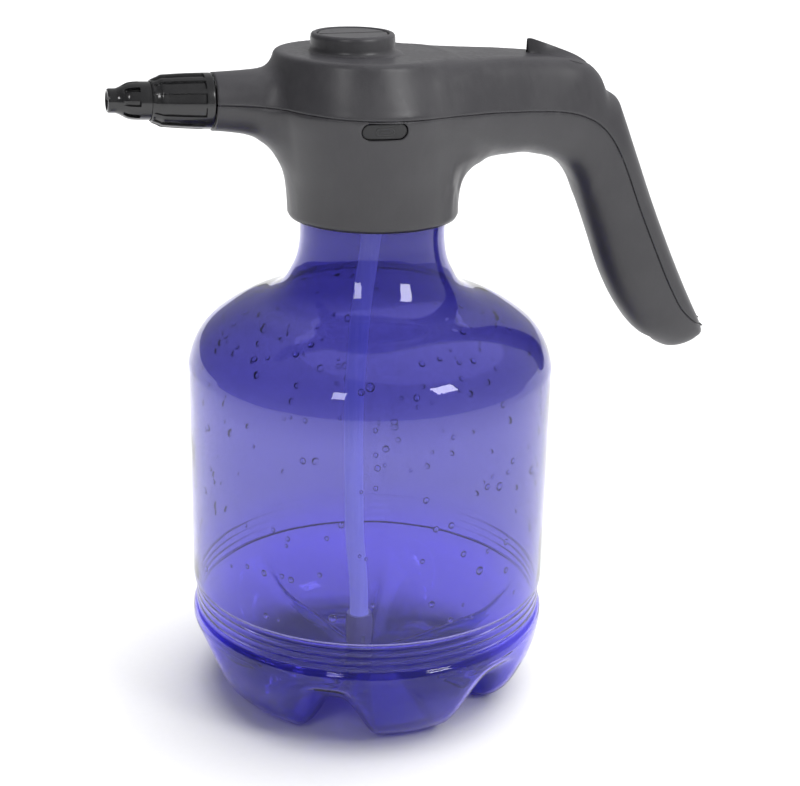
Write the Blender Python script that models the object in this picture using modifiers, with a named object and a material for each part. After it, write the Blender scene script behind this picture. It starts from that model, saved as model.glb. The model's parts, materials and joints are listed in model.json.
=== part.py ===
"""Battery pump sprayer: a three-litre bottle with a screw-on head that holds a motor pump.

Sizes below are millimetres, turned into metres where a mesh is made.
The bottle's axis is the vertical line x = 0, y = 0 of the ASSEMBLY empty, the nozzle points
towards -X and the handle towards +X. Z is measured from the surface that the feet stand on.
"""

import math

import bmesh
import bpy
import numpy as np
from mathutils import Matrix, Vector

MM = 0.001
GAP = 0.3  # between pieces that touch
MERGE = 0.00001  # metres

# Bottle
BOTTLE_R = 75.0
BOTTLE_WALL = 1.6
FOOT_COUNT = 6
FOOT_RING_R = 54.0
FOOT_PAD_HALF = 3.0
BASE_TOP_Z = 38.2
BAND_TOP_Z = 51.3
BAND_DEPTH = 1.5
SHOULDER_Z = 139.6
NECK_Z = 196.0
FINISH_Z = 209.5
FINISH_R = 28.2
NECK_R = FINISH_R + 1.0
MOUTH_Z = 229.0
SEGMENTS = 36  # round the bottle, a multiple of the feet

# Screw thread between bottle and head
THREAD_PITCH = 4.0
THREAD_TURNS = 2.0
THREAD_HEIGHT = 1.6
THREAD_WIDTH = 1.5
THREAD_CLEAR = 0.7
THREAD_Z = FINISH_Z + 4.5  # where the bottle's ridge starts

# Head
COLLAR_Z = 207.9
COLLAR_WALL = 3.8
COLLAR_R = FINISH_R + THREAD_HEIGHT + THREAD_CLEAR + COLLAR_WALL
SHELL_WALL = 2.4
GASKET_THICK = 1.4
GASKET_WIDTH = 4.2
DECK_Z = MOUTH_Z + GASKET_THICK + 2 * GAP  # underside of the floor inside the head
DECK_THICK = 2.5
SEAM_R = COLLAR_R + 6.2
SEAM_Z = 252.4
TOP_Z = 269.3
TOP_R = COLLAR_R - 0.3
TOP_SHIFT = -6.0  # the flat top's round end stands forward of the bottle's axis
HANDLE_END_X = 152.0

# Button and its ring
BUTTON_X = -9.0
RIM_R = 16.2
RIM_WALL = 2.2
RIM_TOP_Z = 280.0
BUTTON_CLEAR = 0.45
BUTTON_TRAVEL = 2.0
BUTTON_SKIRT = 7.5
BUTTON_WALL = 1.6
BOARD_TOP_Z = 266.2
BOARD_THICK = 1.4

# Nozzle: places along its axis are counted from the spout's mouth towards the tip
MOUTH_X = -65.0
MOUTH_AXIS_Z = 255.6
NOZZLE_RISE = math.radians(2.5)
SLEEVE_REAR_R = 10.7
SLEEVE_FRONT_R = 9.8
SLEEVE_END = 20.3
NOZZLE_MID_R = 7.2
SHOULDER_END = 24.1
CAGE_END = 33.5
TIP_R = 4.6
CONE_END = 36.8
NOZZLE_LENGTH = 40.0
STEM_R = 5.2
PIN_R = 4.0
NOZZLE_THREAD_PITCH = 2.5
STEM_THREAD_Z = 4.5
RIB_COUNT = 12
WINDOW_COUNT = 8

# Pump, motor and battery
PUMP_Z = 248.5
PUMP_SIDE = 25.0
PUMP_HEAD_LENGTH = 16.0
POST_RISE = 0.4  # of the posts under the pump's bracket
CRANK_LENGTH = 13.0
MOTOR_R = 12.2
MOTOR_LENGTH = 30.8
SHAFT_R = 1.0
CELL_R = 9.1
CELL_LENGTH = 65.0
CELL_CENTRE = (115.5, 190.5)  # x and z, in the middle of the grip
GRIP_SLOPE = math.radians(66.0)
LEAD_R = 0.6

# Screws that hold the two shells together, measured along each from the lower shell's face
CASE_SCREW_R = 1.45
CASE_SCREW_HEAD_R = 3.0
CASE_SCREW_LENGTH = 21.0
CASE_SEAT_R = 3.6
CASE_SEAT_DEPTH = 2.4
CASE_BOSS_MEET = 12.6  # where the upper shell's boss meets the lower shell's
CASE_SCREW_REACH = {"case_screw_arch": 37.5, "case_screw_grip": 22.5}

# Suction line
TUBE_R = 4.0
TUBE_BORE_R = 2.7
TUBE_TOP_Z = DECK_Z - 2.5
STRAINER_R = 6.0
STRAINER_Z = 12.5
STRAINER_HEIGHT = 16.0
STRAINER_X = -3.6
TUBE_BOW_X = -7.0
VENT_X = -14.0

# Charging port
PORT_X = -8.5
PORT_Z = 248.4
PORT_LENGTH = 18.0
PORT_HEIGHT = 6.8
PORT_CLEAR = 0.4
FLAP_THICK = 1.9

# The object's box is centred on x = 0, so the bottle's axis stands off it
FRONT_REACH = -MOUTH_X + NOZZLE_LENGTH * math.cos(NOZZLE_RISE) + TIP_R * math.sin(NOZZLE_RISE)
AXIS_X = (FRONT_REACH - HANDLE_END_X) / 2

# The head's ribs, from the spout's mouth to the end of the grip. Each is a closed section
# through a low or front point (x, z) and a high or back point (x, z), with its greatest
# half-width, that width's place as a share of the way down from the high point, the
# squareness of its upper and lower halves and the upper half's inward taper.
HEAD_RIBS = (
    ((-65.5, 244.8), (-64.5, 266.4), 10.8, 0.50, 2.0, 2.0, 0.00),
    ((-54.4, 242.8), (-53.8, 266.6), 12.0, 0.49, 2.0, 2.0, 0.00),
    ((-46.5, 239.0), (-46.0, 268.2), 14.6, 0.47, 2.2, 2.0, 0.02),
    ((-40.4, 232.3), (-40.5, 269.4), 19.5, 0.41, 3.0, 2.0, 0.06),
    ((-36.5, 224.0), (-36.5, 269.7), 24.0, 0.35, 4.0, 2.0, 0.12),
    ((-31.0, 222.0), (-31.0, 269.7), 27.5, 0.35, 5.0, 2.0, 0.16),
    ((-20.0, 236.0), (-20.0, 269.5), 33.5, 0.49, 5.0, 2.4, 0.16),
    ((-5.0, 238.0), (-5.0, 269.3), 36.5, 0.53, 5.0, 2.4, 0.16),
    ((12.0, 238.0), (12.0, 269.2), 36.2, 0.54, 5.0, 2.4, 0.17),
    ((22.0, 235.0), (22.0, 269.1), 33.5, 0.50, 5.0, 2.4, 0.17),
    ((31.0, 226.0), (31.0, 269.0), 30.4, 0.40, 5.0, 2.3, 0.17),
    ((38.5, 220.5), (38.0, 268.9), 27.4, 0.36, 5.0, 2.3, 0.18),
    ((43.5, 226.0), (45.0, 268.8), 25.0, 0.41, 5.0, 2.4, 0.19),
    ((50.0, 229.0), (52.0, 268.7), 23.0, 0.45, 5.0, 2.5, 0.20),
    ((59.5, 229.8), (61.0, 268.5), 20.6, 0.48, 4.6, 2.6, 0.20),
    ((68.5, 229.2), (72.0, 268.2), 18.4, 0.49, 4.2, 2.6, 0.20),
    ((76.0, 227.0), (81.5, 267.6), 16.9, 0.49, 3.6, 2.6, 0.18),
    ((82.0, 222.8), (89.0, 265.8), 15.8, 0.48, 3.2, 2.5, 0.15),
    ((86.5, 216.5), (95.0, 261.4), 15.2, 0.44, 2.9, 2.5, 0.12),
    ((89.5, 209.5), (99.6, 254.4), 14.8, 0.38, 2.6, 2.5, 0.08),
    ((91.6, 204.5), (106.6, 249.6), 14.5, 0.40, 2.4, 2.4, 0.04),
    ((94.5, 197.0), (114.0, 228.5), 14.2, 0.33, 2.3, 2.4, 0.00),
    ((97.2, 190.0), (122.2, 207.0), 13.9, 0.32, 2.3, 2.4, 0.00),
    ((102.6, 176.2), (130.3, 189.2), 13.8, 0.30, 2.3, 2.4, 0.00),
    ((110.1, 162.2), (137.3, 174.8), 13.6, 0.30, 2.3, 2.4, 0.00),
    ((119.6, 150.0), (144.2, 161.4), 12.9, 0.28, 2.3, 2.4, 0.00),
    ((128.8, 143.3), (148.8, 153.0), 11.4, 0.25, 2.2, 2.2, 0.00),
    ((137.9, 139.7), (151.4, 148.4), 8.8, 0.25, 2.0, 2.0, 0.00),
    ((145.0, 140.4), (HANDLE_END_X, 147.2), 5.0, 0.30, 2.0, 2.0, 0.00),
)
RIB_POINTS = 24
BELL_POINTS = 32

# Where the upper shell meets the lower one, seen from the side (x, z)
SEAM_LINE = (
    (-66.5, 255.7), (-54.0, 255.0), (-40.0, 254.2), (-22.0, 253.1), (0.0, 252.4), (29.0, 251.8),
    (45.0, 251.0), (60.0, 250.0), (72.0, 248.8), (80.0, 247.2), (88.0, 244.2), (94.0, 240.0),
    (99.0, 234.0), (104.0, 225.0), (112.0, 206.8), (121.5, 186.5), (129.5, 170.5), (136.0, 160.0),
    (143.5, 153.3), (152.5, 149.4),
)

COLOURS = {  # red, green, blue, roughness, metallic, alpha
    "violet_pet": (0.10, 0.08, 0.62, 0.08, 0.0, 0.45),
    "charcoal_abs": (0.135, 0.13, 0.14, 0.48, 0.0, 1.0),
    "black_plastic": (0.02, 0.02, 0.022, 0.28, 0.0, 1.0),
    "black_rubber": (0.03, 0.03, 0.033, 0.70, 0.0, 1.0),
    "milky_tube": (0.45, 0.52, 0.85, 0.35, 0.0, 0.8),
    "white_plastic": (0.80, 0.80, 0.78, 0.40, 0.0, 1.0),
    "steel": (0.62, 0.62, 0.63, 0.30, 1.0, 1.0),
    "brass": (0.78, 0.58, 0.25, 0.30, 1.0, 1.0),
    "green_board": (0.03, 0.20, 0.08, 0.45, 0.0, 1.0),
    "cell_wrap": (0.05, 0.25, 0.50, 0.35, 0.0, 1.0),
    "red_wire": (0.55, 0.02, 0.02, 0.45, 0.0, 1.0),
    "black_wire": (0.02, 0.02, 0.02, 0.45, 0.0, 1.0),
}


# ---------------------------------------------------------------- scene and materials
def clear_scene():
    for thing in list(bpy.data.objects):
        bpy.data.objects.remove(thing, do_unlink=True)


def new_collection(name):
    made = bpy.data.collections.new(name)
    bpy.context.scene.collection.children.link(made)
    return made


def make_materials():
    made = {}
    for name, (red, green, blue, rough, metal, alpha) in COLOURS.items():
        material = bpy.data.materials.new(name)
        material.use_nodes = True
        shader = material.node_tree.nodes["Principled BSDF"]
        shader.inputs["Base Color"].default_value = (red, green, blue, 1.0)
        shader.inputs["Roughness"].default_value = rough
        shader.inputs["Metallic"].default_value = metal
        shader.inputs["Alpha"].default_value = alpha
        material.diffuse_color = (red, green, blue, alpha)
        made[name] = material
    return made


clear_scene()
PARTS = new_collection("pump_sprayer")
CUTTERS = new_collection("cutters")
MATERIALS = make_materials()
ASSEMBLY = bpy.data.objects.new("assembly", None)
PARTS.objects.link(ASSEMBLY)
ASSEMBLY.location = (AXIS_X * MM, 0.0, 0.0)
# The nozzle's own frame: +Z runs out of the spout along the nozzle's axis
NOZZLE_FRAME = bpy.data.objects.new("nozzle_frame", None)
PARTS.objects.link(NOZZLE_FRAME)
NOZZLE_FRAME.parent = ASSEMBLY
NOZZLE_FRAME.location = (MOUTH_X * MM, 0.0, MOUTH_AXIS_Z * MM)
NOZZLE_FRAME.rotation_euler = (0.0, NOZZLE_RISE - math.pi / 2, 0.0)
# The grip's frame: +Z runs up the battery cell
GRIP_FRAME = bpy.data.objects.new("grip_frame", None)
PARTS.objects.link(GRIP_FRAME)
GRIP_FRAME.parent = ASSEMBLY
GRIP_FRAME.location = (CELL_CENTRE[0] * MM, 0.0, CELL_CENTRE[1] * MM)
GRIP_FRAME.rotation_euler = (0.0, GRIP_SLOPE - math.pi / 2, 0.0)


# ---------------------------------------------------------------- shape helpers
def place(thing, at=(0, 0, 0), turn=(0, 0, 0), parent=None):
    """Puts an object in the assembly: millimetres, and turns in radians about X, Y and Z."""
    thing.parent = parent or ASSEMBLY
    thing.location = Vector(at) * MM
    thing.rotation_euler = turn
    return thing


def as_part(thing, name, finish):
    thing.name = name
    thing.data.name = name
    thing.data.materials.clear()
    thing.data.materials.append(MATERIALS[finish])
    if thing.type == "MESH":
        thing.data.shade_smooth()
        thing.data.set_sharp_from_angle(angle=math.radians(35))
    PARTS.objects.link(thing)
    return thing


def as_cutter(thing, name):
    thing.name = name
    thing.hide_render = True
    thing.display_type = "WIRE"
    CUTTERS.objects.link(thing)
    return thing


def bool_with(target, tool, operation="DIFFERENCE"):
    modifier = target.modifiers.new(tool.name, "BOOLEAN")
    modifier.operation = operation
    modifier.solver = "EXACT"
    modifier.object = tool
    return target


def from_bmesh(shape, name):
    bmesh.ops.recalc_face_normals(shape, faces=shape.faces)
    mesh = bpy.data.meshes.new(name)
    shape.to_mesh(mesh)
    shape.free()
    return bpy.data.objects.new(name, mesh)


def cylinder(name, radius, z_low, z_high, sides=24, top_radius=None):
    shape = bmesh.new()
    bmesh.ops.create_cone(
        shape,
        cap_ends=True,
        segments=sides,
        radius1=radius * MM,
        radius2=(radius if top_radius is None else top_radius) * MM,
        depth=(z_high - z_low) * MM,
        matrix=Matrix.Translation((0, 0, (z_low + z_high) / 2 * MM)),
    )
    return from_bmesh(shape, name)


def block(name, low, high, round_edge=0.0):
    """A box between two corners, with its edges rounded by round_edge."""
    low, high = Vector(low) * MM, Vector(high) * MM
    shape = bmesh.new()
    size = Matrix.Diagonal((*(high - low), 1.0))
    bmesh.ops.create_cube(shape, size=1.0, matrix=Matrix.Translation((low + high) / 2) @ size)
    made = from_bmesh(shape, name)
    if round_edge:
        bevel = made.modifiers.new("round", "BEVEL")
        bevel.width = round_edge * MM
        bevel.segments = 2
    return made


def turned(name, profile, sides=24, ring=False):
    """A profile of (radius, z) turned about Z. It runs down its outer side; a ring closes on itself."""
    points = [(radius * MM, 0.0, z * MM) for radius, z in profile]
    edges = [(i, i + 1) for i in range(len(points) - 1)]
    if ring:
        edges.append((len(points) - 1, 0))
    mesh = bpy.data.meshes.new(name)
    mesh.from_pydata(points, edges, [])
    made = bpy.data.objects.new(name, mesh)
    screw = made.modifiers.new("turn", "SCREW")
    screw.steps = sides
    screw.render_steps = sides
    screw.use_merge_vertices = True
    screw.merge_threshold = MERGE
    return made


def flat_prism(name, outline, half_depth):
    """An outline of (x, z), thickened by half_depth to each side along Y."""
    curve = bpy.data.curves.new(name, "CURVE")
    curve.dimensions = "2D"
    curve.fill_mode = "BOTH"
    curve.extrude = half_depth * MM
    spline = curve.splines.new("POLY")
    spline.points.add(len(outline) - 1)
    for point, (x, z) in zip(spline.points, outline):
        point.co = (x * MM, z * MM, 0.0, 1.0)
    spline.use_cyclic_u = True
    made = bpy.data.objects.new(name, curve)
    solid = as_mesh(made)
    solid.data.transform(Matrix.Rotation(math.pi / 2, 4, "X"))
    return solid


def rod(name, points, radius, sides, step):
    """A round rod along a smooth path through a few points (x, y, z), with a ring every step."""
    curve = bpy.data.curves.new(name, "CURVE")
    curve.dimensions = "3D"
    curve.bevel_depth = radius * MM
    curve.bevel_resolution = max(0, sides // 2 - 2)
    curve.use_fill_caps = True
    path = smooth_path(np.array(points, float), step)
    spline = curve.splines.new("POLY")
    spline.points.add(len(path) - 1)
    for point, (x, y, z) in zip(spline.points, path):
        point.co = (x * MM, y * MM, z * MM, 1.0)
    return bpy.data.objects.new(name, curve)


def smooth_path(points, step):
    """Points about a step apart on a Catmull-Rom curve through the given ones."""
    ends = np.vstack([2 * points[0] - points[1], points, 2 * points[-1] - points[-2]])
    path = [points[0]]
    for i in range(len(points) - 1):
        a, b, c, d = ends[i : i + 4]
        count = max(1, int(round(np.linalg.norm(c - b) / step)))
        for t in np.arange(1, count + 1) / count:
            path.append(
                0.5 * (2 * b + (c - a) * t + (2 * a - 5 * b + 4 * c - d) * t**2
                       + (3 * b - a - 3 * c + d) * t**3)
            )
    return path


def as_mesh(thing):
    """The evaluated shape of an object as a new plain mesh object, in place of the old one."""
    bpy.context.scene.collection.objects.link(thing)
    bpy.context.view_layer.update()
    graph = bpy.context.evaluated_depsgraph_get()
    mesh = bpy.data.meshes.new_from_object(thing.evaluated_get(graph))
    shape = bmesh.new()
    shape.from_mesh(mesh)
    bmesh.ops.remove_doubles(shape, verts=shape.verts, dist=MERGE)
    bmesh.ops.recalc_face_normals(shape, faces=shape.faces)
    shape.to_mesh(mesh)
    shape.free()
    solid = bpy.data.objects.new(thing.name, mesh)
    solid.matrix_world = thing.matrix_world.copy()
    bpy.data.objects.remove(thing, do_unlink=True)
    return solid


def loft(name, rings):
    """A closed solid through rings of points, each ring with the same number of points."""
    rings = np.asarray(rings) * MM
    count, around = rings.shape[:2]
    shape = bmesh.new()
    verts = [[shape.verts.new(point) for point in ring] for ring in rings]
    for i in range(count - 1):
        for j in range(around):
            k = (j + 1) % around
            shape.faces.new((verts[i][j], verts[i][k], verts[i + 1][k], verts[i + 1][j]))
    shape.faces.new(verts[0][::-1])
    shape.faces.new(verts[-1])
    return from_bmesh(shape, name)


def helix_ridge(name, root_r, crest_r, z_start, pitch, turns, width, per_turn=24, start=0.0):
    """A screw thread's ridge as a solid. Its ends sink into the wall that carries it."""
    steps = int(turns * per_turn)
    outward = 1 if crest_r > root_r else -1
    sink = 0.5 * outward
    rings = []
    for i in range(steps + 1):
        angle = start + 2 * math.pi * i / per_turn
        rise = z_start + pitch * i / per_turn
        fade = min(1.0, i / 4, (steps - i) / 4)
        crest = root_r + (crest_r - root_r) * fade if fade else root_r - 0.3 * outward
        half = width / 2
        section = (
            (root_r - sink, rise - half),
            (crest, rise - 0.45 * half),
            (crest, rise + 0.45 * half),
            (root_r - sink, rise + half),
        )
        rings.append([(r * math.cos(angle), r * math.sin(angle), z) for r, z in section])
    return loft(name, rings)


def screw_piece(name, finish, head_r, shank_r, length, at, turn=(0, 0, 0)):
    """A pan-head screw. Its head's underside is at the given point, its shank along -Z."""
    thick = head_r * 0.55
    profile = ((0, thick), (head_r * 0.7, thick), (head_r, thick * 0.5), (head_r, 0),
               (shank_r, 0), (shank_r, -length + shank_r), (0, -length))
    made = turned(name, profile, 12)
    return place(as_part(made, name, finish), at, turn)


# ---------------------------------------------------------------- bottle
def smoothstep(low, high, value):
    t = np.clip((value - low) / (high - low), 0, 1)
    return t * t * (3 - 2 * t)


def foot_rings(inset):
    """The footed base from its middle outwards, as rings whose height runs between foot and valley."""
    angles = np.arange(SEGMENTS) * 2 * math.pi / SEGMENTS - math.pi / 2
    pitch = 2 * math.pi / FOOT_COUNT
    off_foot = np.abs((angles + math.pi / 2 + pitch / 2) % pitch - pitch / 2)
    foot = 1 - smoothstep(math.radians(14), math.radians(27), off_foot)
    pad_in = FOOT_RING_R - FOOT_PAD_HALF
    pad_out = FOOT_RING_R + FOOT_PAD_HALF
    stations = (  # radius, height on a foot, height in a valley
        (7.0, 8.5, 8.5),
        (22.0, 8.0, 9.0),
        (40.0, 4.0, 10.5),
        (pad_in, 0.0, 11.5),
        (pad_out, 0.0, 12.6),
        (BOTTLE_R - 11.0, 4.5, 15.5),
        (BOTTLE_R - 5.5, 12.0, 20.0),
        (BOTTLE_R - 1.5, 23.0, 26.5),
        (BOTTLE_R + 0.3, BASE_TOP_Z - 4.0, BASE_TOP_Z - 4.0),
    )
    rings = []
    for radius, low, high in stations:
        height = high + (low - high) * foot + inset
        narrow = radius - inset * radius / BOTTLE_R
        rings.append(np.stack([narrow * np.cos(angles), narrow * np.sin(angles), height], -1))
    return rings


def round_rings(profile):
    angles = np.arange(SEGMENTS) * 2 * math.pi / SEGMENTS - math.pi / 2
    unit = np.stack([np.cos(angles), np.sin(angles), np.zeros(SEGMENTS)], -1)
    return [unit * radius + np.array([0, 0, z]) for radius, z in profile]


def shoulder_profile(inset):
    """Radius and height from the cylinder's top to the neck: a round shoulder, then a hollow curve."""
    round_r, hollow_r = 30.0, 26.0
    points = []
    for degrees in (0, 18, 36, 54, 68):
        a = math.radians(degrees)
        points.append((BOTTLE_R - round_r * (1 - math.cos(a)), SHOULDER_Z + round_r * math.sin(a)))
    last_r, last_z = points[-1]
    rise, run = NECK_Z - last_z, last_r - NECK_R
    for share in (0.3, 0.55, 0.78, 1.0):
        points.append((NECK_R + run * (1 - share) ** 2.2, last_z + rise * share ** 0.98))
    return [(radius - inset, z) for radius, z in points]


def make_bottle():
    floor_z = BASE_TOP_Z - BAND_DEPTH
    outer = foot_rings(0.0) + round_rings(
        [(BOTTLE_R, BASE_TOP_Z), (BOTTLE_R - BAND_DEPTH, BASE_TOP_Z + 1.0),
         (BOTTLE_R - BAND_DEPTH, BAND_TOP_Z - 1.0), (BOTTLE_R, BAND_TOP_Z)]
        + shoulder_profile(0.0)
        + [(NECK_R, FINISH_Z - 1.5), (FINISH_R, FINISH_Z), (FINISH_R, MOUTH_Z)]
    )
    inner_r = FINISH_R - BOTTLE_WALL - 0.6
    inner = round_rings(
        [(inner_r, MOUTH_Z), (inner_r, FINISH_Z - 4.0)]
        + shoulder_profile(BOTTLE_WALL)[::-1]
        + [(BOTTLE_R - BAND_DEPTH - BOTTLE_WALL, floor_z)]
    ) + foot_rings(BOTTLE_WALL)[::-1][1:]
    body = loft("bottle", outer + inner)
    ridge = helix_ridge(
        "bottle_thread", FINISH_R, FINISH_R + THREAD_HEIGHT, THREAD_Z, THREAD_PITCH,
        THREAD_TURNS, THREAD_WIDTH)
    place(as_cutter(ridge, "bottle_thread"))
    bool_with(body, ridge, "UNION")
    place(as_part(body, "bottle", "violet_pet"))


def make_gasket():
    low, high = MOUTH_Z + GAP, DECK_Z - GAP
    outer = FINISH_R + 0.8
    profile = ((outer, high), (outer, low), (outer - GASKET_WIDTH, low),
               (outer - GASKET_WIDTH, high))
    place(as_part(turned("neck_gasket", profile, 36, ring=True), "neck_gasket", "black_rubber"))


# ---------------------------------------------------------------- head shells
def rib_ring(rib, inset):
    """One closed section of the head, drawn in by inset on every side."""
    low, high, half_width, seam, square_up, square_down, taper = rib
    low, high = np.array(low), np.array(high)
    along = (high - low) / np.linalg.norm(high - low)
    low, high = low + along * inset, high - along * inset
    middle = high + (low - high) * seam
    up, down = np.linalg.norm(high - middle), np.linalg.norm(middle - low)
    angles = np.arange(RIB_POINTS) * 2 * math.pi / RIB_POINTS
    cosine, sine = np.cos(angles), np.sin(angles)
    square = np.where(sine >= 0, square_up, square_down)
    reach = np.abs(sine) ** (2 / square)
    lift = np.where(sine >= 0, up, -down) * reach
    width = (half_width - inset) * np.sign(cosine) * np.abs(cosine) ** (2 / square)
    width = width * np.where(sine >= 0, 1 - taper * reach, 1.0)
    return np.stack([middle[0] + along[0] * lift, width, middle[1] + along[1] * lift], -1)


def bell(inset, z_floor):
    """The round body over the collar: it flares to the seam, draws in to the top and leans forward."""
    stations = [
        (z_floor + 0.0, COLLAR_R - 0.6),
        (z_floor + 0.8, COLLAR_R),
        (221.0, COLLAR_R + 0.3),
        (232.0, COLLAR_R + 1.9),
        (242.0, COLLAR_R + 4.0),
        (SEAM_Z, SEAM_R),
        (TOP_Z - 3.0, TOP_R + 1.2),
        (TOP_Z - 0.9, TOP_R),
        (TOP_Z, TOP_R - 1.8),
    ]
    stations = [(z, r) for z, r in stations if z >= z_floor]
    rings = []
    angles = np.arange(BELL_POINTS) * 2 * math.pi / BELL_POINTS
    for z, radius in stations:
        shift = TOP_SHIFT * smoothstep(COLLAR_Z, TOP_Z, z)
        radius -= inset
        height = min(z, TOP_Z - inset)
        rings.append(np.stack([shift + radius * np.cos(angles), radius * np.sin(angles),
                               np.full(BELL_POINTS, height)], -1))
    return rings


def head_solid(name, inset, z_floor):
    """The head's outer form, or the space inside it, as one closed mesh."""
    rings = bell(inset, z_floor)
    if inset:
        rings = [ring for ring in rings if ring[0][2] < TOP_Z - inset - 0.01]
        lid = rings[-1].copy()
        lid[:, 2] = TOP_Z - inset
        rings.append(lid)
    round_body = loft(name + "_bell", rings)
    ribs = HEAD_RIBS if not inset else HEAD_RIBS[1:-1]
    beam = loft(name, [rib_ring(rib, inset) for rib in ribs])
    as_cutter(round_body, name + "_bell")
    bool_with(beam, round_body, "UNION")
    return as_mesh(beam)


def make_shells():
    outer = head_solid("head_outer", 0.0, COLLAR_Z)
    space = head_solid("head_space", SHELL_WALL, COLLAR_Z)
    deck_plug = as_cutter(cylinder("deck_plug", COLLAR_R + 6.0, COLLAR_Z - 5.0,
                                   DECK_Z + DECK_THICK, 40), "deck_plug")
    bool_with(space, deck_plug)
    space = as_mesh(space)
    as_cutter(space, "head_space")
    bore_r = FINISH_R + THREAD_HEIGHT + THREAD_CLEAR
    collar_bore = as_cutter(cylinder("collar_bore", bore_r, COLLAR_Z - 5.0, DECK_Z, 36),
                            "collar_bore")
    stem_bore = as_cutter(cylinder("stem_bore", STEM_R + 1.0, -16.0, 3.0, 24), "stem_bore")
    stem_bore.data.transform(NOZZLE_LOCAL)
    for tool in (space, collar_bore, stem_bore):
        bool_with(outer, tool)
    shell = as_mesh(outer)
    split_shells(shell)


def seam_tool(name, above, shift):
    """A block with the seam line as one side: all that is above the line, or all below it."""
    line = [(x, z + shift) for x, z in SEAM_LINE]
    first, last = line[0], line[-1]
    if above:
        rest = [(last[0] + 40, last[1] - 2), (last[0] + 40, 330), (-120, 330), (-120, first[1])]
    else:
        rest = [(last[0] + 40, last[1] - 2), (last[0] + 40, 100), (-120, 100), (-120, first[1])]
    return as_cutter(flat_prism(name, line + rest, 60.0), name)


def split_shells(shell):
    half = GAP / 2
    lower = bpy.data.objects.new("lower_shell", shell.data.copy())
    upper = bpy.data.objects.new("upper_shell", shell.data.copy())
    bool_with(lower, seam_tool("below_seam", False, -half), "INTERSECT")
    bool_with(upper, seam_tool("above_seam", True, half), "INTERSECT")
    finish_lower(as_mesh(lower))
    finish_upper(as_mesh(upper))


def finish_lower(lower):
    bore_r = FINISH_R + THREAD_HEIGHT + THREAD_CLEAR
    ridge = helix_ridge("collar_thread", bore_r, bore_r - THREAD_HEIGHT,
                        THREAD_Z + 0.75 * THREAD_PITCH, THREAD_PITCH, THREAD_TURNS - 0.5,
                        THREAD_WIDTH, start=math.pi / 2)  # a quarter turn on, so midway between
    tools = [(ridge, "collar_thread", "UNION")]
    wall_y = port_face_y()
    boss = block("port_boss", (PORT_X - 12.5, wall_y + 1.5, PORT_Z - PORT_HEIGHT / 2 - 1.8),
                 (PORT_X + 12.5, wall_y + 6.5, PORT_Z + PORT_HEIGHT / 2 + 0.2))
    tools.append((boss, "port_boss", "UNION"))
    for index, (x, y) in enumerate(pump_screw_places()):
        post = cylinder("pump_post", 3.0, DECK_Z + 0.5, DECK_Z + DECK_THICK + POST_RISE, 16)
        post.data.transform(Matrix.Translation((x * MM, y * MM, 0)))
        tools.append((post, f"pump_post_{index}", "UNION"))
    recess = stadium("port_recess", PORT_LENGTH + 2 * PORT_CLEAR, PORT_HEIGHT + 2 * PORT_CLEAR,
                     wall_y - 8.0, wall_y + FLAP_THICK + 0.9)
    tools.append((recess, "port_recess", "DIFFERENCE"))
    hole = block("port_hole", (PORT_X - 6.6, wall_y - 2.0, PORT_Z - 2.3),
                 (PORT_X + 5.4, wall_y + 9.0, PORT_Z + 2.3))
    tools.append((hole, "port_hole", "DIFFERENCE"))
    inlet = cylinder("inlet_hole", TUBE_R + 0.6, DECK_Z - 3.0, DECK_Z + DECK_THICK + 3.0, 24)
    tools.append((inlet, "inlet_hole", "DIFFERENCE"))
    vent = cylinder("vent_hole", 1.6, DECK_Z - 3.0, DECK_Z + DECK_THICK + 3.0, 12)
    vent.data.transform(Matrix.Translation((VENT_X * MM, 0, 0)))
    tools.append((vent, "vent_hole", "DIFFERENCE"))
    for index, (x, y) in enumerate(pump_screw_places()):
        pilot = cylinder("pump_pilot", 1.4, DECK_Z + 1.0, DECK_Z + DECK_THICK + 6.0, 12)
        pilot.data.transform(Matrix.Translation((x * MM, y * MM, 0)))
        tools.append((pilot, f"pump_pilot_{index}", "DIFFERENCE"))
    for name, at, turn in case_screw_places():
        sleeve = cylinder(name, CASE_SEAT_R + 1.2, 1.0, CASE_BOSS_MEET - GAP, 18)
        bore = cylinder(name, CASE_SCREW_R + 0.45, 0.0, CASE_BOSS_MEET + 3.0, 12)
        seat = cylinder(name, CASE_SEAT_R, -9.0, CASE_SEAT_DEPTH, 16)
        for tool, kind, operation in ((sleeve, "sleeve", "UNION"), (bore, "bore", "DIFFERENCE"),
                                      (seat, "seat", "DIFFERENCE")):
            tool.data.transform(frame_at(at, turn))
            tools.append((tool, f"{name}_{kind}", operation))
    for tool, name, operation in tools:
        as_cutter(tool, name)
        bool_with(lower, tool, operation)
    place(as_part(lower, "lower_shell", "charcoal_abs"))
    tie_cutters([name for _, name, _ in tools])


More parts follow.
